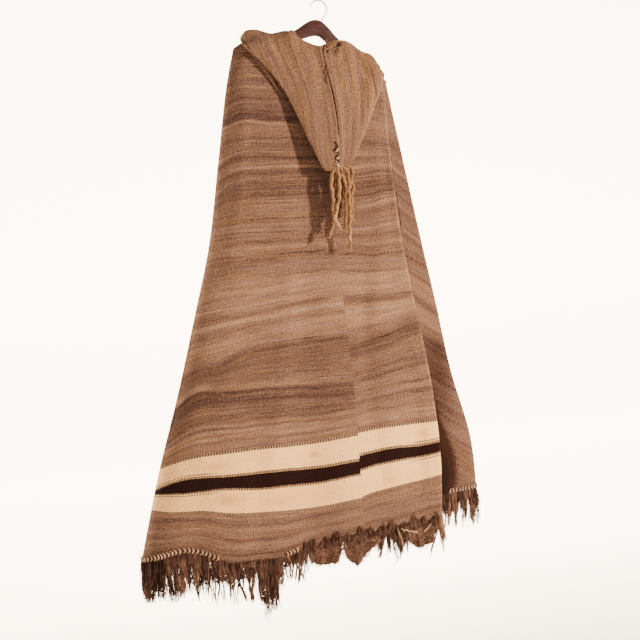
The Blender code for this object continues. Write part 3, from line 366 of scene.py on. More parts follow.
# a sheet that faces the camera's side of the cloak
def facingSkin(name, grid):
    facing = gridNormals(grid, -1)
    facing *= np.sign(-facing[..., 1:2].mean())
    flip = np.cross(grid[1, 0] - grid[0, 0], grid[0, 1] - grid[0, 0])[1] > 0
    return skinMesh(name, grid, facing, bool(flip)), facing


def storeVector(mesh, name, *parts):
    layer = mesh.attributes.new(name, "FLOAT_VECTOR", "POINT")
    values = vectors(*parts).reshape(-1, 3)
    values = np.concatenate([values] * (len(mesh.vertices) // len(values)))
    layer.data.foreach_set("vector", values.astype(np.float32).ravel())


# one finish and the tree of nodes behind it
class Finish:
    def __init__(self, name, roughness, sheenTint=None, specular=None):
        self.material = bpy.data.materials.new(name)
        self.material.use_nodes = True
        self.tree = self.material.node_tree
        self.shader = self.tree.nodes["Principled BSDF"]
        self.set(roughness=roughness, sheenWeight=0.03 if sheenTint else 0.0, sheenRoughness=0.6,
                 sheenTint=(*(sheenTint or (1, 1, 1)), 1.0))
        if specular:
            self.set(specularIorLevel=specular)

    # the shader's own inputs, such as baseColor for Base Color
    def set(self, **inputs):
        names = {"".join(key.split()).lower(): key for key in self.shader.inputs.keys()}
        self.fill(self.shader, {names[key.lower()]: value for key, value in inputs.items()})

    def fill(self, made, inputs):
        for key, value in dict(inputs).items():
            if isinstance(value, bpy.types.NodeSocket):
                self.tree.links.new(value, made.inputs[key])
            else:
                made.inputs[key].default_value = value
        return made

    def node(self, kind, inputs=(), **settings):
        made = self.tree.nodes.new("ShaderNode" + kind)
        for key, value in settings.items():
            setattr(made, key, value)
        return self.fill(made, inputs)

    def calc(self, operation, *values):
        return self.node("Math", enumerate(values), operation=operation).outputs[0]

    def times(self, first, second):
        return self.calc("MULTIPLY", first, second)

    def plusTimes(self, total, part, gain):
        return self.calc("MULTIPLY_ADD", part, gain, total)

    # noise lies round 0.5
    def plusNoise(self, total, noise, gain):
        return self.plusTimes(total, self.calc("SUBTRACT", noise, 0.5), gain)

    def mapped(self, value, low, high, first=0.0, last=1.0):
        return self.node("MapRange", {0: value, 1: low, 2: high, 3: first, 4: last}).outputs[0]

    def between(self, value, low, high, soft=0.0004):
        return self.times(self.mapped(value, low - soft, low + soft),
                          self.mapped(value, high - soft, high + soft, 1.0, 0.0))

    def noise(self, place, scale, detail, **more):
        return self.node("TexNoise", {"Vector": place, "Scale": scale, "Detail": detail, **more}).outputs[0]

    def place(self):
        return self.node("TexCoord").outputs["Object"]

    def parts(self, attribute):
        whole = self.node("Attribute", attribute_name=attribute).outputs["Vector"]
        return self.node("SeparateXYZ", {0: whole}).outputs

    def blend(self, share, first, second, mode="MIX"):
        colours = {k: (*value, 1.0) if isinstance(value, tuple) else value
                   for k, value in ((6, first), (7, second))}
        return self.node("Mix", {0: share, **colours}, data_type="RGBA", blend_type=mode).outputs[2]

    def ramp(self, value, *stops):
        made = self.node("ValToRGB", {0: value})
        while len(made.color_ramp.elements) < len(stops):
            made.color_ramp.elements.new(0.5)
        for element, (place, colour) in zip(made.color_ramp.elements, stops):
            element.position = place
            element.color = (*colour, 1.0)
        return made.outputs[0]

    def bump(self, height, distance, strength):
        made = self.node("Bump", {"Height": height, "Distance": distance, "Strength": strength})
        self.set(normal=made.outputs[0])


wool = {
    "dark": (0.028, 0.010, 0.006), "greyBrown": (0.077, 0.040, 0.028), "brown": (0.143, 0.075, 0.047),
    "tan": (0.244, 0.130, 0.076), "light": (0.400, 0.235, 0.135), "cream": (1.000, 0.570, 0.225),
    "creamShade": (0.900, 0.470, 0.180), "creamSoil": (0.560, 0.280, 0.125),
    "darkBand": (0.0050, 0.0012, 0.0009), "darkThread": (0.0200, 0.0050, 0.0040),
    "pick": (0.0180, 0.0060, 0.0050), "rowGround": (0.620, 0.400, 0.250), "stain": (0.600, 0.230, 0.050),
    # slit is the near-black of the painted shade in the hood's seam and the side width's recess
    "slit": (0.012, 0.006, 0.005), "cool": (0.95, 0.96, 1.10), "golden": (1.14, 1.02, 0.68),
    "warpPitch": 0.0052, "toothPitch": 0.0067, "weftPitch": 0.0019, "ribDepth": 0.0009,
    # noises drawn out along the weft: scale across, scale up, detail, roughness, shift
    "runs": (1.9, 46, 5, 0.72, 3.1), "threads": (7, 330, 3, 0.75, 0), "rows": (2.6, 165, 2, 0.6, 13),
    "dashes": (34, 230, 2, 0.7, 7.7), "speckle": (190, 330, 2, 0.8, 20), "patch": (9, 16, 2, 0.5, 31),
    "lone": (3.6, 120, 2, 0.5, 57), "gold": (3, 60, 4, 0.75, 44), "ragged": (160, 20, 1, 0.5, 51),
    "thread": (30, 330, 4, 0.7, 61), "fleck": (190, 300, 2, 0.6, 71), "soil": (14, 40, 4, 0.7, 81),
}


# hand-woven wool: streaks run along the weft, ribs across it; the sheet's own attributes say where it is
def woolFinish(name, banded, streakGain=1.0, warmth=0.0):
    finish = Finish(name, 0.95, (0.95, 0.78, 0.60), 0.03)
    weave = finish.parts("weave")
    # the second mark is wear on the banded widths, painted shade on the hood's seam and the side width's
    # recess
    tone, wear, stain = finish.parts("marks")
    across, up = weave[0], weave[1]

    def layer(key):
        xScale, yScale, detail, roughness, shift = wool[key]
        place = finish.node("CombineXYZ", {0: finish.times(across, xScale), 1: finish.times(up, yScale),
                                           2: shift}).outputs[0]
        return finish.noise(place, 1.0, detail, Roughness=roughness)

    def wave(pitch):
        return finish.calc("SINE", finish.times(across, 2 * pi / wool[pitch]))

    # long soft runs of one fleece, fine threads, short dashes, and the heathered grain of the yarn
    runs, threads, rows, dashes, speckle, patch = (
        layer(key) for key in ("runs", "threads", "rows", "dashes", "speckle", "patch"))
    total = finish.plusTimes(0.52 + 0.05 * warmth, tone, 0.25 * streakGain)
    for part, gain in ((threads, 0.50 * streakGain), (runs, 0.30 * streakGain),
                       (rows, 0.32 * streakGain), (dashes, 0.28), (speckle, 1.05), (patch, 0.12)):
        total = finish.plusNoise(total, part, gain)
    # here and there one dark thread runs on its own
    total = finish.plusTimes(total, finish.mapped(layer("lone"), 0.66, 0.72), -0.16 * streakGain)
    ribs = wave("warpPitch")
    total = finish.plusTimes(total, finish.times(ribs, finish.mapped(patch, 0.35, 0.62, 0.2, 1.0)), 0.062)
    colour = finish.ramp(total, *zip((0.08, 0.31, 0.50, 0.69, 0.94),
                                     (wool[key] for key in ("dark", "greyBrown", "brown", "tan", "light"))))
    golden = finish.mapped(layer("gold"), 0.38, 0.64, 0.0, 0.55 + warmth)
    colour = finish.blend(golden, finish.blend(1.0, colour, wool["cool"], "MULTIPLY"),
                          finish.blend(1.0, colour, wool["golden"], "MULTIPLY"))
    if banded:
        edges, low = finish.parts("bandEdges"), finish.parts("bandFoot")
        ragged = finish.times(finish.calc("SUBTRACT", layer("ragged"), 0.5), 0.0026)
        creamTop, darkTop, darkFoot, creamFoot = (
            finish.calc("ADD", edge, ragged) for edge in (edges[0], edges[1], edges[2], low[0]))
        warp = finish.mapped(wave("warpPitch"), 0.35, 1.0)
        teeth = finish.mapped(wave("toothPitch"), -0.98, -0.62)
        thread = layer("thread")
        fleck = finish.mapped(layer("fleck"), 0.60, 0.68)
        soil = finish.mapped(layer("soil"), 0.50, 0.70)
        cream = finish.blend(finish.mapped(thread, 0.36, 0.62), wool["cream"], wool["creamShade"])
        for share, gain, key in ((soil, 0.45, "creamShade"), (warp, 0.26, "creamSoil"),
                                 (fleck, wear, "greyBrown"), (stain, 0.80, "stain")):
            cream = finish.blend(finish.times(share, gain), cream, wool[key])
        darkWool = finish.blend(thread, wool["darkBand"], wool["darkThread"])
        for top, foot, filling in ((creamTop, creamFoot, cream), (darkTop, darkFoot, darkWool)):
            inBand = finish.times(finish.between(top, -1.0, 0.0), finish.between(foot, 0.0, 1.0))
            colour = finish.blend(inBand, colour, filling)
        # rows of dark picks along each border, and a second row where the dark band narrows
        doubled = low[1]
        for edge, first, last, often in ((creamTop, -0.0050, 0.0012, 1.0), (darkTop, 0.0004, 0.0056, 1.0),
                                         (darkFoot, -0.0046, 0.0004, 1.0), (creamFoot, -0.0010, 0.0036, 1.0),
                                         (darkTop, 0.0084, 0.0116, doubled),
                                         (darkFoot, -0.0110, -0.0078, doubled)):
            row = finish.times(finish.between(edge, first, last, 0.0006), often)
            colour = finish.blend(finish.times(row, 0.6), colour, wool["rowGround"])
            row = finish.times(row, teeth)
            colour = finish.blend(finish.times(row, 0.92), colour, wool["pick"])
    else:
        # painted shade: a near-black slit along the hood's seam and in the side panel's recess
        colour = finish.blend(finish.mapped(wear, 0.45, 0.60), colour, wool["slit"])
    finish.set(baseColor=colour)
    weft = finish.calc("SINE", finish.plusTimes(finish.times(dashes, 5.0), up, 2 * pi / wool["weftPitch"]))
    height = finish.plusTimes(finish.times(ribs, 0.32), weft, 0.30)
    height = finish.plusTimes(height, speckle, 2.2)
    height = finish.plusTimes(height, dashes, 1.6)
    finish.bump(height, wool["ribDepth"], 0.9)
    return finish.material


# where the pattern lies on the back: lines that its wefts follow, each a height at x -0.15 and its course
leftGuides = {
    "x": mm(-480, -440, -400, -360, -300, -250, -220, -150, -60, 30),
    "lines": mm(
        (-100, (-160, -150, -140, -135, -130, -120, -105, -100, -100, -100)),
        (-200, (-260, -250, -240, -235, -230, -220, -203, -200, -200, -200)),
        (-297, (-360, -350, -345, -340, -330, -308, -296, -297, -302, -303)),
        (-430, (-520, -510, -500, -490, -475, -440, -433, -430, -428, -426)),
        (-527, (-600, -590, -580, -570, -538, -529, -527, -527, -526, -525)),
        (-613, (-700, -690, -670, -650, -622, -618, -616, -613, -609, -606)),
        (-740, (-830, -810, -790, -767, -756, -751, -748, -740, -728, -718)),
        (-830, (-930, -915, -897, -878, -866, -848, -838, -830, -825, -820)),
        (-937, (-1020, -1000, -958, -934, -934, -935, -935, -937, -939, -941)),
        (-1077, (-1106, -1094, -1085, -1080, -1078, -1077, -1076, -1077, -1075, -1068)),
        (-1140, (-1156, -1142, -1134, -1134, -1138, -1139, -1139, -1140, -1142, -1137)),
        (-1176, (-1158, -1162, -1166, -1166, -1166, -1172, -1175, -1176, -1177, -1169)),
        (-1241, (-1198, -1208, -1212, -1215, -1229, -1235, -1237, -1241, -1241, -1234))),
}
rightGuides = {
    "x": mm(30, 45, 70, 100, 140, 170, 200, 230, 262),
    "lines": mm(
        (-100, (-100, -100, -100, -100, -100, -100, -100, -100, -100)),
        (-300, (-300, -300, -300, -300, -305, -315, -320, -330, -340)),
        (-500, (-511, -511, -509, -505, -495, -490, -488, -486, -485)),
        (-623, (-617, -619, -622, -625, -624, -622, -620, -620, -620)),
        (-735, (-736, -735, -734, -733, -732, -730, -728, -726, -724)),
        (-830, (-855, -852, -847, -840, -830, -818, -808, -800, -795)),
        (-930, (-946, -943, -938, -932, -925, -920, -917, -914, -910)),
        (-1055, (-1064, -1061, -1058, -1056, -1055, -1054, -1053, -1053, -1052)),
        (-1115, (-1126, -1123, -1120, -1116, -1114, -1115, -1116, -1114, -1110)),
        (-1145, (-1159, -1157, -1152, -1148, -1145, -1143, -1142, -1140, -1135)),
        (-1214, (-1233, -1230, -1223, -1219, -1214, -1210, -1207, -1203, -1198))),
}
# streaks by the x from and to which they run: height on the guides, half height, tone in hundredths
leftStreaks = {
    (-600, 100): ((-735, 75, 50), (-1030, 26, 16), (-430, 100, -20)),
    # the first streak here is painted shade beside the hood's left edge
    (-300, -80): ((-265, 65, -32), (-297, 3.5, 85)),
    (-250, 0): ((-168, 3, -35),),
    (-180, 0): ((-198, 5, -55),),
    (-220, -130): ((-213, 2.5, 55),),
    (-300, 0): ((-235, 10, 10), (-249, 3, 35), (-349, 10, -20)),
    (-300, 50): ((-266, 6, -40), (-284, 8, -70), (-314, 12, 25), (-379, 4, -65), (-391, 6, 5),
        (-414, 3, -50)),
    (-280, 0): ((-333, 3, -45),),
    (-290, -120): ((-366, 3.5, 60),),
    (-240, -30): ((-402, 3, 75),),
    (-320, -100): ((-430, 3, 60),),
    (-340, 50): ((-447, 9, -40), (-468, 6, -25), (-490, 12, 25), (-515, 9, 30), (-545, 10, 30),
        (-862, 20, -45), (-900, 12, -12)),
    (-230, -70): ((-526.5, 1.6, -85),),
    (-300, -50): ((-557, 1.8, -65),),
    (-260, -20): ((-580, 1.8, -65),),
    (-360, 50): ((-597, 9, 30), (-665, 12, 15), (-688, 10, 45), (-775, 6, -35)),
    (-145, 20): ((-613, 1.6, -135),),
    (-360, 0): ((-635, 14, -15),),
    (-200, -50): ((-712, 4, -25),),
    (-400, 50): ((-726, 6, 25), (-757, 5, 45), (-795, 10, 35), (-815, 6, 20), (-1023, 2.2, -50),
        (-1280, 10, 20)),
    (-380, -20): ((-743, 6, -55),),
    (-290, 50): ((-834, 7, -70),),
    (-400, -270): ((-834, 4, -55),),
    (-470, -330): ((-915, 16, 80),),
    (-350, 0): ((-924, 5, 30),),
    (-440, 50): ((-938, 4, -95), (-985, 2.2, 35)),
    (-460, 50): ((-958, 18, -80), (-992, 10, -45), (-1006, 3, -55), (-1016, 3, 25)),
    (-480, -50): ((-1031, 2.5, 55),),
    (-480, 50): ((-1044, 3, 45), (-1052, 2, -20)),
    (-500, 50): ((-1062, 8, 25), (-1310, 8, 10), (-1326, 6, -45), (-1341, 6, -20)),
    (-520, 50): ((-1249, 4, 25), (-1262, 4, -35)),
    (-500, -120): ((-1297, 4, -55),),
}
rightStreaks = {
    (-100, 400): ((-730, 70, 42), (-1020, 26, 30)),
    (0, 300): ((-260, 8, -20), (-300, 10, 20), (-345, 10, -55), (-372, 4, 30), (-388, 4, -25),
        (-402, 4, 35), (-418, 3, -65), (-445, 12, -75), (-470, 8, -50), (-512, 8, -35), (-535, 6, 0),
        (-552, 6, 40), (-572, 3, -45), (-590, 8, 15), (-640, 6, -10), (-655, 4, 30), (-680, 12, 50),
        (-705, 8, 25), (-733, 9, -55), (-757, 8, 40), (-775, 8, 40), (-803, 8, -15), (-828, 12, -80),
        (-850, 10, -50), (-878, 10, 5), (-905, 6, -35), (-940, 4, 15), (-955, 3, -45), (-966, 4, 25),
        (-980, 4, -50), (-995, 5, 10), (-1010, 3, -35), (-1030, 10, 25), (-1048, 3, -20), (-1235, 6, 15),
        (-1250, 4, -30), (-1270, 10, 10), (-1290, 5, -45), (-1305, 6, -15)),
    (70, 300): ((-497, 4, 60),),
    (25, 155): ((-623.5, 1.6, -125),),
    (50, 300): ((-922, 6, -60),),
}
view = {"from": (-0.6516, -2.1616, -0.5924), "yaw": 16.0, "down": 4.8, "roll": 2.6, "lens": 50.625}
# the chart of the pattern is the plane y = at + slope (z + 0.1)
chart = {"at": -0.021, "slope": 0.033}


# where a point of the back falls on the flat chart of its pattern
def chartPlace(grid):
    eye = np.array(view["from"])
    ray = grid - eye
    t = ((chart["at"] + chart["slope"] * (eye[2] + 0.1) - eye[1])
         / (ray[..., 1] - chart["slope"] * ray[..., 2]))
    place = eye + ray * t[..., None]
    return place[..., 0], place[..., 2]


def weftHeight(x, z, guides):
    names = [name for name, _ in guides["lines"]]
    lines = [curveThrough(guides["x"], heights)(x) for _, heights in guides["lines"]] + [z[:, -1:]]
    names.append(names[-1] - 0.105)
    height = names[0] + (z - lines[0])
    for k in range(len(lines) - 1):
        t = (z - lines[k]) / (lines[k + 1] - lines[k])
        height = np.where(z <= lines[k], names[k] + (names[k + 1] - names[k]) * t, height)
    return height


def streakTone(x, height, streaks):
    tone = np.zeros_like(x)
    for (x0, x1), rows in streaks.items():
        x0, x1 = mm(x0, x1)
        near = smoothStep((x - x0) / 0.045 + 0.5) * smoothStep((x1 - x) / 0.045 + 0.5)
        for middle, half, strength in rows:
            middle, half = mm(middle, half)
            waver = 0.0012 * np.sin(x * 31 + middle * 90) + 0.0008 * np.sin(x * 77 + middle * 40)
            tone += strength / 100 * bell(height + waver, middle, half) * near
    return tone


print("plan ready")


# the cloak's four widths of cloth
clothFacts = {
    # columns, rows, outward sense, flat size and area
    "back_left": (112, 300, 1, (0.590, 1.302), 0.480), "back_right": (64, 300, -1, (0.225, 1.220), 0.234),
    "front_left": (84, 150, -1, (0.510, 1.302), 0.407), "front_right": (96, 150, -1, (0.599, 1.162), 0.409),
    # heights of the upper and lower edges: cream, dark, dark, cream
    "leftEdges": (-1.077, -1.140, -1.176, -1.241), "rightEdges": (-1.055, -1.115, -1.145, -1.214),
    # where the bands narrow, their dark rows stand double
    "narrowLeft": -0.30, "narrowRight": 0.16, "narrowSoft": 0.05,
    # stains: x, height, half width, half height, share
    "stains": (
        (-0.078, -1.108, 0.010, 0.007, 1.0), (-0.325, -1.112, 0.030, 0.009, 0.6),
        (-0.300, -1.205, 0.030, 0.012, 0.6), (0.215, -1.085, 0.012, 0.008, 0.7),
        (-0.180, -1.205, 0.170, 0.030, 0.22), (0.120, -1.195, 0.030, 0.010, 0.35),
        (-0.160, -1.215, 0.025, 0.010, 0.35),
    ),
    # soft troughs and ridges: from x, z to x, z, half width, height
    "backCreases": mm((-150, -200, -330, -1000, 30, -3.5), (-105, -420, -215, -1250, 24, 3),
        (-200, -230, -262, -620, 18, 3), (-40, -560, -85, -1300, 22, 0.8),
        (-335, -760, -455, -1240, 20, -3.2), (-270, -860, -380, -905, 8, -2.2),
        (-215, -945, -405, -925, 7, -1.6), (-390, -930, -340, -1290, 18, 2.6),
        (-160, -560, -115, -700, 30, 2.4), (-250, -1110, -275, -1330, 22, 3.4),
        (-150, -609, 4, -613, 3, 1), (25, -617, 160, -622, 3, 1), (120, -350, 95, -800, 22, 2.8),
        (70, -680, 115, -1280, 20, -3), (150, -260, 165, -620, 14, -2.2),
        (185, -760, 225, -1270, 16, 2.4)),
    "leftFrontCreases": mm((-80, -300, -120, -1200, 24, -4), (-170, -250, -300, -1250, 26, 3.8),
        (-230, -420, -390, -1280, 22, -3.4), (-40, -620, -60, -1270, 18, 3)),
    "rightFrontCreases": mm((60, -300, 95, -1230, 22, -4), (130, -260, 230, -1240, 24, 3.6),
        (185, -560, 285, -1230, 16, -2.6)),
}


def onOneSide(side):
    keep = cloak["halfGap"]
    return (lambda y: np.minimum(y, -keep)) if side < 0 else (lambda y: np.maximum(y, keep))


leftWool = woolFinish("woolLeftWidth", True)
sideWool = woolFinish("woolSideWidth", False, 0.9, 0.05)
grids = {}
normalsOf = {}


def layWidth(nodeName, gridOf, creases, keepSide, side=1):
    columns, rows, outward, _, _ = clothFacts[nodeName]
    grid = gridOf(columns, rows)
    normals = gridNormals(grid, outward)
    push = pressed(grid, creases) * smoothStep((grid[..., 2].max() - 0.10 - grid[..., 2]) / 0.10)
    grid = grid + normals * (push * smoothStep(fromEnds(len(grid)) / 8)[:, None])[..., None]
    normals = gridNormals(grid, outward)
    grids[nodeName], normalsOf[nodeName] = grid, normals
    mesh = skinMesh(camelName(nodeName) + "Width", grid, normals, outward < 0, keepSide)
    return grid, mesh, arcAcross(grid), *chartPlace(grid * np.array([1, side, 1]))


def finishWidth(nodeName, mesh, material, height, tone, fromSeam, doubled, wearAndShade=1.0):
    grid = grids[nodeName]
    wear = np.clip(0.35 + 0.25 * np.sin(grid[..., 0] * 17 + 1) + 0.2 * np.sin(grid[..., 2] * 9), 0, 1)
    wear = np.clip(wear + 0.8 * smoothStep((-0.33 - grid[..., 0]) / 0.10), 0, 1)
    stain = np.zeros_like(tone)
    for x, z, wide, high, strength in clothFacts["stains"]:
        stain += strength * bell(grid[..., 0], x, wide) * bell(height, z, high)
    storeVector(mesh, "weave", fromSeam, height, 0)
    # the second mark is the cloth's wear, unless a painted shade is passed in to take its place
    storeVector(mesh, "marks", tone, wearAndShade if np.ndim(wearAndShade) else wear, np.clip(stain, 0, 1))
    creamTop, darkTop, darkFoot, creamFoot = clothFacts["rightEdges" if "right" in nodeName else "leftEdges"]
    storeVector(mesh, "bandEdges", height - creamTop, height - darkTop, height - darkFoot)
    storeVector(mesh, "bandFoot", height - creamFoot, doubled, 0)
    piece = dress(mesh.name, mesh, material, nodeName)


grid, mesh, arc, x, z = layWidth("back_left", lambda a, b: backGrid(True, a, b), clothFacts["backCreases"],
                                 onOneSide(-1))
height = weftHeight(x, z, leftGuides)
# painted light: paler where the cloth turns round the left fold, as if lit from the left
paintedEdgeLight = 1 - smoothStep((np.abs(arc[-1:] - arc) - 0.018) / 0.045)
paintedEdgeLight = paintedEdgeLight * smoothStep((-0.22 - z) / 0.08) * (1 - smoothStep((-0.62 - z) / 0.10))
finishWidth("back_left", mesh, leftWool, height, streakTone(x, height, leftStreaks) + 0.5 * paintedEdgeLight, arc,
            smoothStep((clothFacts["narrowLeft"] - x) / clothFacts["narrowSoft"]))

grid, mesh, arc, x, z = layWidth("back_right", lambda a, b: backGrid(False, a, b), clothFacts["backCreases"],
                                 onOneSide(-1))
height = weftHeight(x, z, rightGuides)
finishWidth("back_right", mesh, leftWool, height, streakTone(x, height, rightStreaks), arc + 0.0023,
            smoothStep((x - clothFacts["narrowRight"]) / clothFacts["narrowSoft"]))

grid, mesh, arc, x, z = layWidth("front_left", frontLeftGrid, clothFacts["leftFrontCreases"],
                                 onOneSide(1), -1)
height = weftHeight(x, z, leftGuides)
finishWidth("front_left", mesh, leftWool, height, streakTone(x, height, leftStreaks), 0.9 - arc,
            smoothStep((clothFacts["narrowLeft"] - x) / clothFacts["narrowSoft"]))

# beside the right fold the front's cloth lies in a recess; its shade is painted into the colour, darker
# beside the fold and near-black in the recess towards the hem
grid, mesh, arc, x, z = layWidth("front_right", frontRightGrid, clothFacts["rightFrontCreases"], None)
down = grid[..., 2]
recess = 0.034 + 0.044 * smoothStep((-1.010 - down) / 0.20)
recess = (1 - smoothStep((arc - recess) / (0.6 * recess + 0.002))) * smoothStep((-0.98 - down) / 0.10)
paintedFoldShade = (1 - smoothStep((arc - 0.045) / 0.085)) * smoothStep((-0.82 - down) / 0.08)
height = down + 0.62 * arc
everywhere = {(-1000, 1000): [row for rows in rightStreaks.values() for row in rows]}
# painted shade: the tone drops beside the fold and deeply in the recess, and the recess goes on as the
# second mark, a near-black painted slit
tone = 0.8 * streakTone(x, height, everywhere) - 0.45 - 0.95 * paintedFoldShade - 3.6 * recess
finishWidth("front_right", mesh, sideWool, height, tone, arc, 0,
            recess * (0.46 + 0.14 * smoothStep((-1.12 - down) / 0.08)))
print("cloak cloth ready")


# the hood, turned down over the back
hood = {
    "z": mm(-70, -115, -160, -215, -275, -345, -404),
    "left": mm(-196, -188, -153, -113, -84, -56, -32),
    "seam": mm(-24, -18, -9, 4, 13, 15, 11),
    "right": mm(110, 134, 146, 139, 112, 77, 43),
    "mouthX": mm(-205, -190, -168, -128, -84, -58, -14, 12, 46, 98, 134, 150),
    "mouthZ": mm(-100, -79, -73, -83, -82, -104, -121, -111, -104, -123, -144, -182),
    "mouthY": mm(-6, -5, -5, -14, -32, -49, -64, -63, -49, -24, -25, -36),
    "neckHalf": 0.06, "dipRate": 1.15, "tipZ": -0.404, "standoff": 0.03, "depth": 0.039,
    "tipDepth": 0.0095, "roll": 0.05, "clear": 0.0007, "topClear": 0.006, "leavesZ": -0.2,
    "tipX": mm(-34, -26, -16, 0, 11, 22, 36, 44),
    "tipLine": mm(-396, -414, -418, -412, -410, -408, -402, -390),
    "foldZ": mm(-100, -132.5, -175.3, -235.1, -260),
    "foldX": mm(90, 96.7, 107.8, 120.7, 122),
    "halfColumns": 76, "lowerRows": 84,
    "creases": mm((75, -125, 105, -200, 10, -4.5), (-60, -120, -40, -240, 16, 3.5),
        (-130, -110, -75, -260, 18, -3.5), (45, -140, 50, -300, 13, 3), (-20, -200, -6, -390, 10, -2),
        (110, -170, 80, -310, 14, 3), (-165, -95, -120, -160, 12, 4), (-35, -125, 10, -150, 8, 3.5)),
}
hoodEdge = {key: curveThrough(hood["z"], hood[key]) for key in ("left", "seam", "right")}
mouthZ = curveThrough(hood["mouthX"], hood["mouthZ"])
mouthY = curveThrough(hood["mouthX"], hood["mouthY"])


# the line that the hood is sewn to, a little inside the cloak's neck
def underHood(x):
    return topLine(x, cloak["backNeckZ"], -1, hood["neckHalf"], hood["dipRate"])


def backFaceY(x, z):
    zTop, yTop = underHood(x)
    inward = (x - plan["left"](z)) / plan["roll"](z)
    shape = np.where(inward < 1, np.sqrt(np.maximum(1 - (1 - np.minimum(inward, 1)) ** 2, 0)), 1.0)
    face = (plan["back"](z) - waves(cloak["backWaves"], x, z)) * shape
    return opened(face, yTop, np.maximum(zTop - z, 0))


# a narrow crease down the hood's right half
def rightFold(x, z):
    middle = curveThrough(hood["foldZ"], hood["foldX"])(z)
    return bell(x, middle, 0.0024) * smoothStep((-0.124 - z) / 0.02) * smoothStep((z + 0.252) / 0.03)


def hoodGrid(side, outerLayer):
    way = np.linspace(0, 1, hood["halfColumns"] + 1)
    share = (0.36 * (1 - np.cos(way * pi)) + 0.28 * way)[:, None]
    lens = np.sqrt(np.maximum(1 - (1 - share) ** 4, 0))
    edgeLine, seamLine = hoodEdge["left" if side < 0 else "right"], hoodEdge["seam"]
    edgeTop = hood["mouthX"][0] + 0.004 if side < 0 else hood["mouthX"][-1] - 0.001
    xTop = edgeTop + (-0.014 - edgeTop) * share
    zMouth, yMouth = mouthZ(xTop), mouthY(xTop)
    zNeck = underHood(xTop)[0]
    zUnder = np.minimum(zNeck - 0.004, zMouth - 0.002)
    zTop = zMouth if outerLayer else np.where(share < 1e-6, zMouth, zUnder)
    topZ, tipZ = hood["mouthZ"][0], hood["tipZ"]
    edgeTip = edgeLine(tipZ)
    zTip = curveThrough(hood["tipX"], hood["tipLine"])(edgeTip + (seamLine(tipZ) - edgeTip) * share)
    atTop = edgeLine(zTop)
    xPlanTop = atTop + (seamLine(zTop) - atTop) * share
    drops = np.array(mm(0, 1.5, 4, 7, 11, 16, 22, 30, 40))
    t = np.arange(1, hood["lowerRows"] + 1) / hood["lowerRows"]
    z = np.concatenate([zTop - drops, (zTop - drops[-1]) * (1 - t) + zTip * t], 1)
    drop = zTop - z
    x = settle(edgeLine(z) + (seamLine(z) - edgeLine(z)) * share, xTop, xPlanTop, drop)
    down = np.clip((topZ - z) / (topZ - tipZ), 0, 1)
    depth = hood["depth"] + (hood["tipDepth"] - hood["depth"]) * down
    below = np.clip((hood["leavesZ"] - z) / (hood["leavesZ"] - tipZ), 0, 1)
    nearTop = np.clip(1 - (underHood(x)[0] - z) / 0.045, 0, 1)
    clear = hood["clear"] + hood["topClear"] * nearTop
    innerFace = backFaceY(x, z) - clear - hood["standoff"] * below ** 1.3
    outside = innerFace - depth * (0.35 + 0.65 * lens)
    # the seam: its left lip stands over a narrow slit
    aside = x - seamLine(z)
    lip = bell(aside, -0.0042, 0.0032) * 0.0013 + bell(aside, 0.0060, 0.0040) * 0.0005
    slit = bell(aside, 0.0004, 0.0013) * 0.0034 * smoothStep((-0.12 - z) / 0.02)
    outside -= (lip - slit * smoothStep((z + 0.35) / 0.04)) * smoothStep(drop / 0.01)
    outside += 0.0024 * rightFold(x, z)
    t = np.minimum(drop / hood["roll"], 1)
    outside = yMouth + (outside - yMouth) * np.sqrt(1 - (1 - t) ** 2)
    over = smoothStep((shoulderZ(x) + 0.009 - z) / 0.006)
    outside = np.minimum(outside, (backFaceY(x, z) - clear - 2.8 * cloak["wall"]) * over)
    inside = innerFace - 0.35 * depth * (1 - lens)
    y = outside if outerLayer else np.where(share < 1e-6, outside, inside)
    return np.stack([x, y, z], -1), share + 0 * z


# places round a closed ring of columns face away from what it holds
def cyclicNormals(ring):
    run = np.roll(ring, -1, axis=0) - np.roll(ring, 1, axis=0)
    return unit(-np.cross(run, np.gradient(ring, axis=1)))


# the outer layer from edge to edge, the inner layer back again, and a second skin inside both
def hoodPiece():
    (left, leftShare), (right, rightShare) = hoodGrid(-1, True), hoodGrid(1, True)
    innerRight, innerLeft = hoodGrid(1, False)[0], hoodGrid(-1, False)[0]
    ring = np.concatenate([left, right[-2::-1], innerRight[1:], innerLeft[-2:0:-1]], 0)
    toLeft, toRight = -(1 - leftShare), 1 - rightShare
    fan = np.concatenate([toLeft, toRight[-2::-1], toRight[1:], toLeft[-2:0:-1]], 0)
    outerCount = len(left) + len(right) - 1
    columns, rows = ring.shape[:2]
    place = np.arange(columns)
    fromEdge = smoothStep(np.minimum(place, outerCount - 1 - place) / 8)
    fromTop = smoothStep(np.arange(rows) / 12) * smoothStep(np.arange(rows)[::-1] / 10)
    push = pressed(ring, hood["creases"]) * fromEdge[:, None] * fromTop
    ring = ring + cyclicNormals(ring) * push[..., None]
    hollow = ring - cyclicNormals(ring) * cloak["skin"]
    hollow[:, -1, 2] += cloak["skin"]
    count = columns * rows
    ids = np.arange(count).reshape(columns, rows)
    nextIds = np.roll(ids, -1, axis=0)
    outFaces = np.stack([ids[:, :-1], ids[:, 1:], nextIds[:, 1:], nextIds[:, :-1]], -1).reshape(-1, 4)
    rim = np.stack([ids[:, 0], nextIds[:, 0], nextIds[:, 0] + count, ids[:, 0] + count], -1)
    faces = outFaces.tolist() + (outFaces[:, ::-1] + count).tolist() + rim.tolist()
    for offset in (0, count):
        for k in range(outerCount - 1):
            corners = [ids[k, -1], ids[k + 1, -1], ids[-k - 1, -1], ids[-k, -1]]
            corners = list(dict.fromkeys(int(c) + offset for c in corners))
            faces.append(corners if offset == 0 else corners[::-1])
    mesh = meshOf("turnedDownHood", np.stack([ring, hollow]), faces)
    mesh.validate()
    outwardFaces(mesh)
    return mesh, ring, fan, outerCount


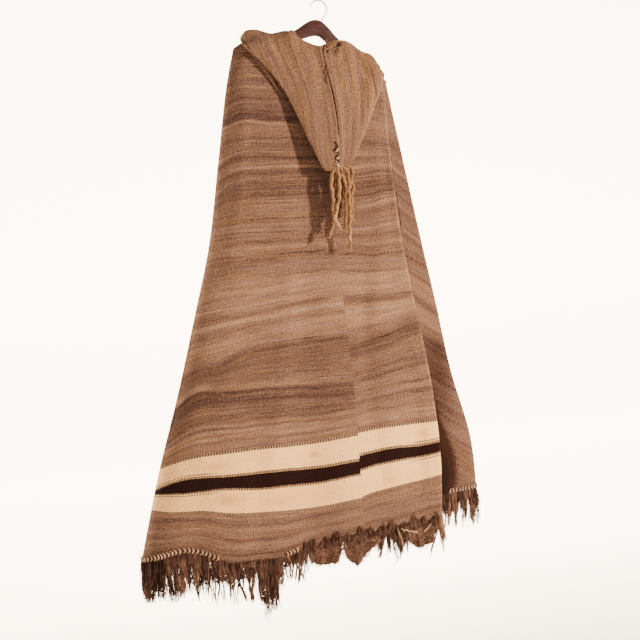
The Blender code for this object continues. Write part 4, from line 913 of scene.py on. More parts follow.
# stripes of the hood in hundredths: place between the seam (0) and either edge, half width, tone
hoodStripes = percent((-97, 5, 35), (-90, 3, -30), (-83, 3, 30), (-76, 2.5, -25), (-69, 3, 40),
    (-61, 2, -35), (-55, 3, 35), (-47, 2, -25), (-40, 1.2, 90), (-34, 3, 35), (-27, 2, -30), (-20, 3, 25),
    (-13, 2, 45), (-7, 2, -30), (5, 2, -55), (11, 3, 20), (18, 2, -35), (25, 3, 35), (33, 2, -40),
    (42, 3, 30), (50, 2, -30), (58, 3, 10), (66, 2, 35), (74, 3, -35), (83, 3, 25), (92, 4, -15))
hoodWool = woolFinish("woolHood", False, 0.80, 0.25)
hoodMesh, hoodRing, fan, hoodOuter = hoodPiece()
x, z = hoodRing[..., 0], hoodRing[..., 2]
narrowing = (np.clip(0.13 * (z + 0.43) / 0.33, 0.02, 0.13) / 0.13) ** 0.45
fanned = fan * narrowing
tone = 0.70 * sum(strength * bell(fanned, middle, half) for middle, half, strength in hoodStripes)
# painted highlight along the hood's folded edges, and painted shade along the crease in its right half
tone += 0.30 * smoothStep((np.abs(fan) - 0.95) / 0.03) - 0.7 * rightFold(x, z)
# painted light: the left end of the hood's roll is lightened where it lies in shade
tone += 0.8 * smoothStep((-0.150 - x) / 0.03) * smoothStep((z + 0.110) / 0.012)
tone += 0.55 * bell(fan, 0.16, 0.16) * smoothStep((-0.17 - z) / 0.05)
# painted shade: a near-black line in the open slit of the seam, widest near z -0.24, passed as the second
# mark
aside = x - hoodEdge["seam"](z) - 0.0004
openSlit = smoothStep((-0.120 - z) / 0.012) * smoothStep((z + 0.350) / 0.03)
widest = bell(z, -0.240, 0.035)
slit = openSlit * bell(aside, 0, 0.0008 + 0.0008 * widest) * (0.75 + 0.35 * widest + 0.25 * np.sin(z * 130))
storeVector(hoodMesh, "weave", z, fanned * 0.15, 0)
storeVector(hoodMesh, "marks", tone, slit, 0)
piece = dress("turnedDownHood", hoodMesh, hoodWool, "hood")

# the hood's under layer shows as a narrow strip beside its left edge
underLayer = {
    "x": mm(-201, -194.5, -185.1, -173.7, -160.2, -146.7, -133.2, -122.1),
    "z": mm(-107, -114.7, -119.2, -131.8, -151.4, -173.4, -196.7, -220.1),
    "half": mm(2, 6.2, 7.2, 7.4, 7, 6.2, 4.6, 1.4),
    "off": 0.004,
}
marks = np.linspace(0, 1, 8)
x, z, half = (curveThrough(marks, underLayer[key])(np.linspace(0, 1, 50)) for key in ("x", "z", "half"))
run = unit(vectors(np.gradient(x), np.gradient(z)))
across = np.linspace(-1, 1, 9)[:, None]
x, z = x + across * half * run[:, 1], z - across * half * run[:, 0]
y = backFaceY(x, z) - underLayer["off"] - 0.0016 * np.sqrt(np.maximum(1 - across ** 2, 0))
stripMesh, _ = facingSkin("hoodUnderLayer", vectors(x, y, z))
storeVector(stripMesh, "weave", z, x, 0)
storeVector(stripMesh, "marks", 0.1 + 0 * x, 0, 0)
piece = dress("hoodUnderLayer", stripMesh, hoodWool)
print("hood ready")


# the fringe: many thin tapered strands of unspun wool, as one joined mesh for each run
fringe = {
    # panel, start, stop, strands to a metre, even share of matted fleece, even length
    "runs": {
        "fringe_back_left": ("back", -0.52, -0.106, 9000, None, None),
        "fringe_back_middle": ("back", 0.081, 0.155, 6800, 0.74, None),
        "fringe_back_corner": ("back", 0.239, 0.262, 6800, 0.78, None),
        "fringe_front_left": ("front_left", -0.042, -0.52, 2400, 0.78, 0.085),
        "fringe_side_right": ("front_right", 0.13, 0.46, 5200, 0.56, 0.098),
        "fringe_front_right": ("front_right", 0.47, 1.0, 2400, 0.78, 0.08),
    },
    "tuftX": mm(-511, -460, -400, -345, -300, -250, -205, -168, -125, 80, 110, 145, 240, 260),
    "tuftLength": mm(94, 108, 112, 108, 100, 98, 112, 64, 80, 62, 88, 68, 96, 70),
    # how far down the matted fleece reaches, as a share of the strands' own length
    "matX": mm(-520, -455, -385, -350, -285, -262, -245, -232, -185, -165, -110),
    "matShare": percent(90, 92, 84, 56, 44, 34, 46, 98, 98, 50, 46),
    "lockPitch": 0.0072, "radius": 0.00072, "rings": 7, "dark": (0.02, 0.007, 0.005),
    "middle": (0.098, 0.044, 0.029), "pale": (0.29, 0.155, 0.096),
}
tuftLength = curveThrough(fringe["tuftX"], fringe["tuftLength"])


def hemOf(points, normals):
    return points, unit(normals * np.array([1, 1, 0])), lengthsAlong(points)


hems = {name: hemOf(grids[name][:, -1], normalsOf[name][:, -1]) for name in grids}
hems["back"] = hemOf(*(np.concatenate([table["back_left"][::-1, -1], table["back_right"][:, -1]])
                       for table in (grids, normalsOf)))


def hemPlace(hem, s):
    points, facing, marks = hem
    place, out = (np.stack([np.interp(s, marks, table[:, k]) for k in range(3)], -1)
                  for table in (points, facing))
    return place, unit(out)


def hemAtX(hem, x):
    points, _, marks = hem
    order = np.argsort(points[:, 0])
    return np.interp(x, points[order, 0], marks[order])


# stretches on the front's right width are shares of its hem, the others lie between two x
def hemSpan(panel, start, stop):
    hem = hems[panel]
    if panel == "front_right":
        return hem, start * hem[2][-1], stop * hem[2][-1]
    return hem, hemAtX(hem, start), hem[2][-1] - 0.004 if stop is None else hemAtX(hem, stop)


def deep(values):
    return np.asarray(values)[:, None, None]


# joined mesh of three-sided strands: paths is strands x rings x 3
def strandMesh(name, paths, radii, shade):
    strands, rings = paths.shape[:2]
    run = unit(np.gradient(paths, axis=1))
    side = unit(np.cross(run, np.array([0.0, 1.0, 0.02])))
    other = np.cross(run, side)
    places = np.stack([paths + radii[..., None] * (side * cos(a) + other * sin(a))
                       for a in (0, 2 * pi / 3, 4 * pi / 3)], 2)
    index = np.arange(strands * rings * 3).reshape(strands, rings, 3)
    faces = [np.stack([index[:, :-1, a], index[:, :-1, b], index[:, 1:, b], index[:, 1:, a]], -1)
             for a, b in ((0, 1), (1, 2), (2, 0))]
    ends = np.concatenate([index[:, 0, ::-1], index[:, -1]])
    mesh = meshOf(name, places, np.stack(faces).reshape(-1, 4).tolist() + ends.tolist())
    alongStrand = np.linspace(0, 1, rings)[None, :, None] + np.zeros((strands, 1, 3))
    storeVector(mesh, "strand", alongStrand, deep(shade), 0)
    return mesh


def strandFinish(name, facts, roughness=0.85):
    finish = Finish(name, roughness, (0.9, 0.75, 0.6), 0.08)
    strand, place = finish.parts("strand"), finish.place()
    total = finish.plusNoise(strand[1], finish.noise(place, 55.0, 3.0), 0.7)
    total = finish.plusTimes(total, strand[0], 0.10)
    stops = zip((0.15, 0.55, 0.95), (facts["dark"], facts["middle"], facts["pale"]))
    finish.set(baseColor=finish.ramp(total, *stops))
    finish.bump(finish.noise(place, 900.0, 1.0), 0.0003, 0.7)
    return finish.material


def lockedStrands(hem, start, stop, lengthAt, count, seed, evenShare):
    chance = np.random.default_rng(seed)
    low, high = min(start, stop), max(start, stop)
    s = np.sort(chance.uniform(low, high, count))
    place, out = hemPlace(hem, s)
    # locks of uneven width
    ends = low + np.cumsum(chance.uniform(0.35, 1.5, int((high - low) / fringe["lockPitch"]) * 2 + 4)
                           * fringe["lockPitch"])
    lock = np.searchsorted(ends, s)
    locks = int(lock.max()) + 1
    starts = np.concatenate([[low], ends])[:locks]
    centres = starts + (ends[:locks] - starts) * chance.uniform(0.25, 0.75, locks)
    lockLength = chance.uniform(0.66, 1.06, locks)
    lockDrift = chance.normal(0, 0.0080, locks)
    lockSwing = chance.uniform(-0.003, 0.008, locks)
    matShare = evenShare or curveThrough(fringe["matX"], fringe["matShare"])(place[:, 0])
    matLength = matShare * (1 + 0.07 * np.sin(s * 95 + seed) + 0.09 * np.sin(s * 310))
    # most strands are a short matted fleece, some draw together as ropes, a few stray
    kind = chance.random(count)
    roped = kind < (0.30 if high - low > 0.05 else 0.70)
    loose = kind > 0.93
    lengths = np.where(roped, lockLength[lock] * chance.uniform(0.84, 1.02, count),
                       (1 - 0.45 * chance.random(count) ** 1.7) * matLength)
    lengths = np.where(loose, chance.uniform(0.55, 1.04, count), lengths)
    length = lengthAt(place[:, 0]) * lengths
    t = np.linspace(0, 1, fringe["rings"])[None, :, None]
    gather = np.where(roped, chance.uniform(0.84, 0.99, count), chance.uniform(-0.15, 0.15, count))
    size = np.where(roped, 0.0010, np.where(loose, 0.0048, 0.0030))
    wave = chance.uniform(-1, 1, (count, 1, 1)) * deep(size)
    phase = chance.uniform(0, 6.28, (count, 1, 1))
    twist = chance.uniform(4, 14, (count, 1, 1))
    stray = np.where(roped, 0.0, chance.normal(0, 0.0045, count) * np.where(loose, 2.0, 1.0))
    lockWave = 0.0034 * np.sin(6 * t + 6.28 * deep(chance.random(locks)[lock])) * t
    sideways = (deep((centres[lock] - s) * gather) * smoothStep((t - 0.12) / 0.60)
                + deep(lockDrift[lock] + stray) * t ** 1.7 + wave * np.sin(twist * t + phase) * t
                + lockWave * deep(roped))
    depth = deep(chance.uniform(-0.0012, cloak["wall"] - 0.0004, count))
    outward = (deep(lockSwing[lock]) * t ** 1.6 - depth + chance.uniform(-0.0030, 0.0042, (count, 1, 1)) * t
               + wave * np.cos(twist * t * 1.2 + phase) * t)
    rise = deep(np.where(depth[:, 0, 0] < 0, chance.uniform(0.0, 0.007, count), -0.0003))
    paths = strandPaths(place, out, sideways, outward, deep(length) * t - rise * (1 - t))
    lockShade = chance.uniform(-0.22, 0.20, locks)
    shade = 0.40 + lockShade[lock] + chance.normal(0, 0.20, count) + 0.10 * loose
    radii = fringe["radius"] * chance.uniform(0.7, 1.5, (count, 1)) * (1 - 0.50 * t[..., 0] ** 2)
    return paths, radii, shade


# from places on a hem: so far along it, out from it and down
def strandPaths(place, out, sideways, outward, down):
    acrossDir = vectors(-out[:, 1], out[:, 0], 0)
    return (place[:, None, :] + acrossDir[:, None, :] * sideways + out[:, None, :] * outward
            - np.array([0, 0, 1.0]) * down)


fringeWool = strandFinish("woolFringe", fringe)
for number, (nodeName, facts) in enumerate(fringe["runs"].items()):
    panel, start, stop, perMetre, evenShare, usual = facts
    hem, start, stop = hemSpan(panel, start, stop)
    lengthAt = (lambda x, usual=usual: usual + 0 * x) if usual else tuftLength
    paths, radii, shade = lockedStrands(hem, start, stop, lengthAt, int(abs(stop - start) * perMetre),
                                        11 + number, evenShare)
    if nodeName == "fringe_back_corner":
        shade = shade + 0.50
    if nodeName == "fringe_side_right":
        # nearly black where it hangs in the fold's shadow
        shade = shade - 0.60 * (1 - smoothStep((paths[:, 0, 0] - paths[:, 0, 0].min()) / 0.030))
    name = camelName(nodeName)
    dress(name, strandMesh(name, paths, radii, shade), fringeWool, nodeName)
print("fringe ready")


# felted flaps: matted sheets of fringe with curled locks on their faces
flaps = {
    "felt_flap_1": {"x": mm(-104, -22), "at": percent(0, 5, 18, 40, 62, 84, 95, 100),
        "length": mm(22, 36, 45, 52, 56, 54, 46, 30)},
    "felt_flap_2": {"x": mm(-16, 77), "at": percent(0, 8, 22, 36, 48, 66, 84, 100),
        "length": mm(26, 46, 66, 73, 66, 51, 36, 24)},
    "felt_flap_3": {"x": mm(158, 236), "at": percent(0, 10, 28, 52, 76, 92, 100),
        "length": mm(28, 46, 60, 64, 58, 46, 26)},
}


def flapGrid(hem, facts, columns, rows):
    x0, x1 = facts["x"]
    a = np.linspace(0, 1, columns + 1)
    place, out = hemPlace(hem, hemAtX(hem, x0 + (x1 - x0) * a))
    ragged = 1 + 0.022 * np.sin(a * 23 + x0 * 50) + 0.018 * np.sin(a * 47 + x0 * 90) + 0.012 * np.sin(a * 91)
    length = curveThrough(facts["at"], facts["length"])(a) * ragged
    t = np.linspace(0, 1, rows + 1)[None, :]
    stand = (0.0035 * np.sin(2 * pi * 2.3 * a + 2) + 0.004)[:, None] * t
    stand = stand + 0.0016 * np.sin(a * 37 + 2)[:, None] * np.sin(t * 9 + a[:, None] * 12) * t
    grid = place[:, None, :] + out[:, None, :] * stand[..., None]
    grid[..., 2] -= 0.0003 + length[:, None] * t
    return grid, length


def flapFinish():
    finish = Finish("woolFelt", 0.95, (0.9, 0.75, 0.6), 0.08)
    felt, place = finish.parts("felt"), finish.place()
    curl = finish.noise(place, 160.0, 4.0, Distortion=2.5)
    total = finish.plusNoise(0.42, curl, 1.3)
    total = finish.plusNoise(total, finish.noise(place, 45.0, 2.0), 0.6)
    total = finish.plusTimes(total, finish.mapped(felt[1], 0.0, 0.30, -0.16, 0.12), 1.0)
    colour = finish.ramp(total, (0.15, fringe["dark"]), (0.55, fringe["middle"]), (0.95, fringe["pale"]))
    rim = finish.mapped(felt[0], 0.93, 1.0)
    finish.set(baseColor=finish.blend(finish.times(rim, 0.4), colour, fringe["dark"]))
    finish.bump(curl, 0.0025, 0.9)
    return finish.material


# the short hair on the flaps and along the ragged hem
fleece = {"fibresPerMetre": 5200, "hairsPerMetre": 4300, "between": (-0.118, 0.246), "rings": 5,
          "columns": 60, "rows": 44}
feltWool = flapFinish()
flapHair = []
hairRings = fleece["rings"]
t = np.linspace(0, 1, hairRings)[None, :, None]
for number, (nodeName, facts) in enumerate(flaps.items()):
    columns, rows = fleece["columns"], fleece["rows"]
    flap, length = flapGrid(hems["back"], facts, columns, rows)
    name = "feltedFlap%d" % (number + 1)
    mesh, facing = facingSkin(name, flap)
    down = np.linspace(0, 1, rows + 1)[None, :] + np.zeros((columns + 1, 1))
    aside = np.abs(np.linspace(-1, 1, columns + 1))[:, None]
    storeVector(mesh, "felt", np.maximum(down, aside * (down > 0.5)), down, 0)
    piece = dress(name, mesh, feltWool, nodeName)
    wide = facts["x"][1] - facts["x"][0]
    # curly fibres lie on the felt and stand out along its rim
    chance = np.random.default_rng(70 + number)
    count = int(fleece["fibresPerMetre"] * wide)
    a, b = chance.random(count), chance.random(count) ** 0.7
    column, row = (a * columns).astype(int), np.minimum((b * rows).astype(int), rows - 1)
    root, away = flap[column, row], facing[column, row]
    reach = chance.uniform(0.005, 0.014, count)
    aim = chance.normal(0, 0.8, count) + 2.2 * (a - 0.5) * b
    turn = deep(chance.normal(0, 1.6, count)) * t + deep(aim)
    step = np.concatenate([np.sin(turn), 0 * turn, -np.cos(turn)], -1) * deep(reach / (hairRings - 1))
    path = root[:, None, :] + np.cumsum(step, axis=1) + away[:, None, :] * (
        0.0004 + 0.0016 * np.sin(pi * t) * deep(chance.random(count)))
    flapHair.append((path, chance.uniform(0.25, 0.90, count)))

# short dark fleece along the whole ragged hem, from before the first flap to the corner
chance = np.random.default_rng(91)
low, high = (float(hemAtX(hems["back"], x)) for x in fleece["between"])
count = int((high - low) * fleece["hairsPerMetre"])
s = chance.uniform(low, high, count)
place, out = hemPlace(hems["back"], s)
clumps = np.sin(s * 210) * 0.5 + np.sin(s * 87 + 1) * 0.5
reach = chance.uniform(0.010, 0.026, count) * (1 + 0.45 * clumps)
sway = chance.normal(0, 0.0045, (count, 1, 1)) * t + 0.0028 * np.sin(
    chance.uniform(3, 9, (count, 1, 1)) * t + chance.uniform(0, 6, (count, 1, 1))) * t
lift = deep(0.001 + 0.014 * chance.random(count) ** 2 * (1 + clumps))
stand = 0.0006 + chance.uniform(0.0006, 0.0042, (count, 1, 1)) * np.sin(pi * np.minimum(t * 1.4, 1))
path = strandPaths(place, out, sway, stand, (deep(reach) + lift) * t - lift)
flapHair.append((path, chance.uniform(0.05, 0.75, count)))
paths, tones = (np.concatenate(values) for values in zip(*flapHair))
radii = fringe["radius"] * chance.uniform(0.6, 1.1, (len(paths), 1)) * (1 - 0.6 * t[..., 0] ** 2)
dress("hemFleece", strandMesh("hemFleece", paths, radii, tones), fringeWool)
print("flaps ready")


# the tassel: two-ply cords that hang from the hood's point, each with the x, z that it passes
tassel = {
    "cords": mm(((6, -406), (-6, -425), (-9.8, -452), (-6, -487), (-8, -512), (-5, -537), (-22.6, -579)),
        ((8, -405), (9.2, -428), (9.6, -457), (6.5, -487), (-1, -512), (-4.4, -537), (8.8, -555)),
        ((12, -406), (18.6, -436), (21.4, -454), (16.7, -479), (12.8, -504), (8.1, -531)), ((14, -405),
        (21.1, -437), (27.7, -454), (26.2, -488), (26.5, -513), (23.9, -538), (20, -564)), ((17, -404),
        (31, -420.5), (35.1, -446), (33, -480), (34.5, -513), (32, -545), (31.2, -573), (30.7, -607)),
        ((20, -403), (42, -412), (45.5, -424), (40.8, -437), (45, -458), (40.7, -480), (40, -505),
        (39.6, -530), (38.2, -547)), ((10, -406), (2, -440), (3, -480), (-1, -520), (2, -549))),
    "depths": mm(0, -4, 4, 2, -2, 1, 4),
    "shades": percent(60, 66, 10, 62, 66, 58, 42),
    "hairs": 60, "frayed": 16, "boundTurns": 5, "plyRadius": 0.0029, "twist": 0.0135, "curl": 0.0011,
    "dark": (0.05, 0.018, 0.007), "middle": (0.19, 0.085, 0.036), "pale": (0.36, 0.188, 0.084),
}


# the course of a line through its stops, as x and z
def lineOf(stops, count):
    marks = np.linspace(0, 1, len(stops))
    return tuple(curveThrough(marks, [stop[k] for stop in stops])(np.linspace(0, 1, count)) for k in (0, 1))


def evenly(path, count):
    marks = lengthsAlong(path)
    return np.stack([np.interp(np.linspace(0, marks[-1], count), marks, path[:, c]) for c in range(3)], -1)


def tassels():
    tip = hoodRing[:hoodOuter, -1]
    yMid = float(tip[hoodOuter // 2, 1]) + hood["tipDepth"] / 2
    chance = np.random.default_rng(5)
    yarns, wisps = [], []
    stations, hairRings = 110, 7
    fine = np.linspace(0, 1, 200)
    t = np.linspace(0, 1, stations)
    grow = np.linspace(0, 1, hairRings)[:, None]
    for number, stops in enumerate(tassel["cords"]):
        x, z = lineOf(stops, len(fine))
        middle = evenly(vectors(x, yMid + tassel["depths"][number] * np.sin(pi * fine * 0.8), z), stations)
        length = float(lengthsAlong(middle)[-1])
        curl = tassel["curl"] * np.sin(2 * pi * t * length / 0.028 + number * 2.1)
        middle = middle + vectors(curl, 0.7 * curl[::-1], 0)
        for ply in range(2):
            angle = 2 * pi * t * length / tassel["twist"] + ply * pi + number
            spread = tassel["plyRadius"] * 0.72 * (1 + 0.5 * smoothStep((t - 0.90) / 0.10))
            path = middle + vectors(np.cos(angle), np.sin(angle), 0) * spread[:, None]
            uneven = 1 + 0.16 * np.sin(t * 41 + number) + 0.10 * np.sin(t * 97 + ply)
            radius = tassel["plyRadius"] * uneven * (1 - 0.45 * smoothStep((t - 0.88) / 0.12))
            yarns.append((path, radius, tassel["shades"][number] + chance.uniform(-0.08, 0.08)))
        for hair in range(tassel["hairs"]):
            k = int(chance.uniform(0.0, 0.90) * stations)
            drift = grow ** 1.5 * chance.normal(0, 0.0030, 3)
            near = np.minimum(np.linspace(k, k + 10, hairRings).astype(int), stations - 1)
            wisps.append((middle[near] + drift, np.linspace(0.00020, 0.00008, hairRings), 0.75))
        for frayed in range(tassel["frayed"]):
            drift = grow ** 1.3 * chance.normal(0, 0.0040, 3) * np.array([1, 1, 0.2])
            drop = grow * np.array([0, 0, -chance.uniform(0.003, 0.009)])
            wisps.append((middle[-1] + drift + drop + np.array([0, 0, 0.004]),
                          np.linspace(0.00035, 0.00012, hairRings), 0.6))
    # yarn ends bound round the root
    angle = np.linspace(0, 2 * pi, 40)
    for turn in range(tassel["boundTurns"]):
        wide = 0.0085 + 0.0012 * sin(turn * 2.3)
        path = vectors(0.010 + wide * np.cos(angle) + 0.002 * sin(turn * 1.9), yMid + 0.0042 * np.sin(angle),
                       -0.4055 - 0.0016 * turn + 0.0020 * np.cos(angle + turn))
        yarns.append((path, np.full(len(angle), 0.0013), 0.35 + 0.12 * (turn % 2)))
    return yarns + wisps


def tubeMesh(name, parts, sides):
    places, faces, shades, first = [], [], [], 0
    angles = (2 * pi * np.arange(sides) / sides)[None, :, None]
    for path, radius, shade in parts:
        rings = len(path)
        run = unit(np.gradient(path, axis=0))
        side = unit(np.cross(run, np.array([0.1, 1.0, 0.0])))
        other = np.cross(run, side)
        places.append((path[:, None, :] + deep(radius) * (side[:, None, :] * np.cos(angles)
                       + other[:, None, :] * np.sin(angles))).reshape(-1, 3))
        index = first + np.arange(rings * sides).reshape(rings, sides)
        following = np.roll(index, -1, axis=1)
        quads = np.stack([index[:-1], following[:-1], following[1:], index[1:]], -1).reshape(-1, 4)
        faces += quads.tolist() + [index[0, ::-1].tolist(), index[-1].tolist()]
        shades.append(vectors(np.repeat(np.linspace(0, 1, rings), sides), shade, 0))
        first += rings * sides
    mesh = meshOf(name, np.concatenate(places), faces)
    storeVector(mesh, "strand", *np.concatenate(shades).T)
    return mesh


cordWool = strandFinish("woolCords", tassel, 0.8)
dress("hoodTassel", tubeMesh("hoodTassel", tassels(), 7), cordWool, "tassel")

# darning across the hood's seam, its frayed end at the neck, and loose threads at the hem
mending = {
    "tip": mm((3.8, -348.5), (10.9, -358), (0.3, -369.7), (12.5, -376.9), (1.9, -388.6), (11.6, -395.9),
        (-1.3, -405.1)),
    "upper": mm((-14.6, -166.3), (-5, -173.2), (-12.9, -182.6), (-3.4, -191.9), (-11.3, -201.3),
        (-1.7, -208.3)),
    "white": mm(((12.5, -365), (4, -373.5)), ((3, -396), (9.5, -404)), ((11, -386), (3.5, -390.5)),
        ((9, -408), (0, -402))),
    "crumple": mm(((-4.3, -108.3), (2.5, -122.2), (13, -112.6), (25.6, -110.1), (37.9, -116.9)),
        ((37.9, -116.9), (29, -122.5), (19.8, -126.6), (7.1, -131.5), (1.9, -136.2)), ((-3, -112),
        (-6, -124), (-10, -134))),
    "threads": mm(((137.7, -1320.3), (151.1, -1326), (170, -1332.5), (183.6, -1336.9)), ((202.9, -1338.2),
        (212.9, -1329), (223, -1318.5))),
    "tuft": mm((126.9, -1318.9), (135, -1340), (141.4, -1365.2)),
    "dark": (0.014, 0.007, 0.005), "middle": (0.185, 0.09, 0.05), "pale": (0.78, 0.56, 0.36),
}
outerFace = hoodRing[:hoodOuter].reshape(-1, 3)


def onHood(x, z, lift):
    nearest = [int(((outerFace[:, 0] - a) ** 2 + (outerFace[:, 2] - b) ** 2).argmin()) for a, b in zip(x, z)]
    return vectors(x, outerFace[nearest, 1] - lift, z)


def byHem(x, z, lift):
    return vectors(x, backFaceY(x, np.maximum(z, -1.30)) - lift, z)


chance = np.random.default_rng(8)
parts = []
for key, radius, shade in (("tip", 0.0011, 0.10), ("upper", 0.0006, 0.22)):
    stops = np.array(mending[key])
    steps = np.linspace(0, len(stops) - 1, 60)
    x, z = (np.interp(steps, np.arange(len(stops)), stops[:, k]) for k in (0, 1))
    parts.append((onHood(x, z, 0.0012), np.full(60, radius), shade))
    beside = onHood(x[6:54], z[6:54], 0.0010) + np.array([0.0022, 0, -0.002])
    parts.append((beside, np.full(48, radius * 0.7), shade + 0.2))
for stops in mending["white"]:
    parts.append((onHood(*lineOf(stops, 10), 0.0022), np.full(10, 0.0007), 0.9))
for stops in mending["crumple"]:
    x, z = lineOf(stops, 40)
    for ply in range(3):
        wobble = 0.0012 * np.sin(np.linspace(0, 17, 40) + ply * 2.1)
        path = onHood(x, z, 0.0006 + 0.0007 * ply) + vectors(wobble, wobble, 0.0016 * (ply - 1))
        parts.append((path, np.full(40, 0.0013), 0.30 + 0.06 * ply))
    for hair in range(18):
        k = int(chance.uniform(0, 39))
        drift = np.linspace(0, 1, 6)[:, None] * chance.normal(0, 0.0028, 3) * np.array([1, 0.6, 1])
        parts.append((onHood(x[k:k + 1], z[k:k + 1], 0.003) + drift, np.linspace(0.0003, 0.0001, 6), 0.35))
for stops in mending["threads"]:
    x, z = lineOf(stops, 40)
    curl = 0.0010 * np.sin(np.linspace(0, 23, 40))
    parts.append((byHem(x, z, 0.0075) + curl[:, None], np.full(40, 0.00075), 0.80))
for strand in range(26):
    x, z = lineOf(mending["tuft"], 16)
    spread = np.linspace(0.25, 1, 16) * chance.normal(0, 0.0030)
    path = byHem(x, z, 0.006) + vectors(spread, spread * 0.5, chance.uniform(-0.003, 0.003))
    parts.append((path, np.linspace(0.0008, 0.0003, 16), 0.68 - 0.4 * min(abs(spread[-1]) / 0.004, 1)))
mendYarn = strandFinish("mendingYarn", mending, 0.9)
dress("seamMending", tubeMesh("seamMending", parts, 6), mendYarn)
print("tassel ready")


# chevron braids along the hem: one plait stitch, copied
braid = {
    "height": 0.0145, "pitch": 0.0092, "off": 0.0016, "thick": 0.0030, "bend": 0.0044, "lean": 0.0010,
    "creamWide": 0.0030, "darkWide": 0.0058, "darkBehind": 0.0006, "creamShade": 0.88, "darkShade": 0.10,
    # panel, start, stop and the way that the stitches point
    "runs": {"braid_left": ("back_left", -0.330, None, 1), "braid_patch": ("back_left", -0.163, -0.127, 1),
             "braid_right": ("front_right", 0.20, 0.50, -1)},
    "cream": (0.560, 0.300, 0.150), "gold": (0.260, 0.110, 0.045), "dark": (0.030, 0.008, 0.004),
}


# one stitch, 1 long and 1 wide, turned so that its poles are its ends
def plaitStitch():
    bpy.ops.object.select_all(action="DESELECT")
    bpy.ops.mesh.primitive_uv_sphere_add(segments=10, ring_count=12, radius=0.5, location=(0, 0, 0))
    stitch = bpy.context.object
    bpy.ops.object.mode_set(mode="EDIT")
    bpy.ops.mesh.select_all(action="SELECT")
    bpy.ops.transform.rotate(value=pi / 2, orient_axis="X", center_override=(0, 0, 0))
    bpy.ops.object.mode_set(mode="OBJECT")
    places = np.array([v.co[:] for v in stitch.data.vertices])
    faces = [tuple(p.vertices) for p in stitch.data.polygons]
    bpy.data.objects.remove(stitch)
    # the sphere lists its faces in another order each run: they are sorted, each from its lowest corner
    lows = [face.index(min(face)) for face in faces]
    return places, sorted(face[low:] + face[:low] for face, low in zip(faces, lows))


def braidFinish():
    finish = Finish("woolBraid", 0.9, (0.95, 0.8, 0.65))
    strand = finish.parts("strand")
    noise = finish.noise(finish.place(), 320.0, 3.0)
    share = finish.calc("ADD", strand[1], finish.times(finish.calc("SUBTRACT", noise, 0.5), 0.5))
    colour = finish.ramp(share, (0.30, braid["dark"]), (0.60, braid["gold"]), (0.86, braid["cream"]))
    finish.set(baseColor=colour)
    finish.bump(noise, 0.0006, 0.8)
    return finish.material


braidWool = braidFinish()
stitchPlaces, stitchFaces = plaitStitch()
for number, (nodeName, (panel, start, stop, heading)) in enumerate(braid["runs"].items()):
    hem, *span = hemSpan(panel, start, stop)
    s0, s1 = min(span), max(span)
    chance = np.random.default_rng(40 + number)
    count = int((s1 - s0) / braid["pitch"])
    gaps = chance.uniform(0.78, 1.22, count)
    marks = s0 + (s1 - s0) * (np.cumsum(gaps) - gaps / 2) / gaps.sum()
    places, faces, shades = [], [], []
    for mark, dark in ((mark, dark) for mark in marks for dark in (0, 1)):
        s = min(mark + dark * 0.5 * (s1 - s0) / count, s1)
        (base, ahead), (normal, _) = hemPlace(hem, np.array([s, s + 0.002]))
        run = unit(ahead - base)
        run = -run if run[0] < 0 else run
        up = unit(np.cross(normal, run))
        up = up if up[2] > 0 else -up
        wide = braid["darkWide"] if dark else braid["creamWide"] * chance.uniform(0.85, 1.25)
        tall = braid["height"] * (1.02 if dark else chance.uniform(0.84, 1.0))
        bend = braid["bend"] * chance.uniform(0.8, 1.2) * heading
        lean = chance.uniform(-braid["lean"], braid["lean"])
        centre = base + up * (braid["height"] * 0.50 + 0.0004)
        centre += normal * (braid["off"] - braid["darkBehind"] * dark + chance.uniform(-0.0001, 0.0001))
        form = stitchPlaces * np.array([wide, tall, braid["thick"]])
        # the ends of a stitch trail behind its middle
        form[:, 0] += bend * (0.45 - 4 * stitchPlaces[:, 1] ** 2) + lean * 2 * stitchPlaces[:, 1]
        first = len(places) * len(stitchPlaces)
        places.append(form @ np.array([run, up, normal]) + centre)
        faces += [[first + v for v in face] for face in stitchFaces]
        shade = braid["darkShade" if dark else "creamShade"] + chance.uniform(-0.07, 0.07)
        shades.append(np.full(len(stitchPlaces), shade))
    name = camelName(nodeName)
    mesh = meshOf(name, np.concatenate(places), faces)
    storeVector(mesh, "strand", 0.5, np.concatenate(shades), 0)
    outwardFaces(mesh)
    dress(name, mesh, braidWool, nodeName)
print("braids ready")


# the hanger and its hook keep their shapes and get their finishes
hangerFacts = {
    "wood": (0.052, 0.011, 0.0075), "grain": (0.026, 0.006, 0.0045), "wear": (0.085, 0.024, 0.015),
    "steel": (0.66, 0.63, 0.58),
    # how far the broad, rounded head of the wood stands above or below an even line, at x
    "x": mm(-110, -77.3, -59, -40.8, -27.7, -14.8, -2.1, 10.2, 27.5, 42.3, 60),
    "rise": mm(0, 0.5, 3.1, 8, 9.2, 6.2, 0.4, -6.2, -4.4, -0.2, 0),
    "half": 0.006, "neckHeight": 0.043, "armHeight": 0.02, "taper": 0.085, "stations": 120,
    "endRound": 0.01, "dullSteel": (0.4, 0.37, 0.33),
}


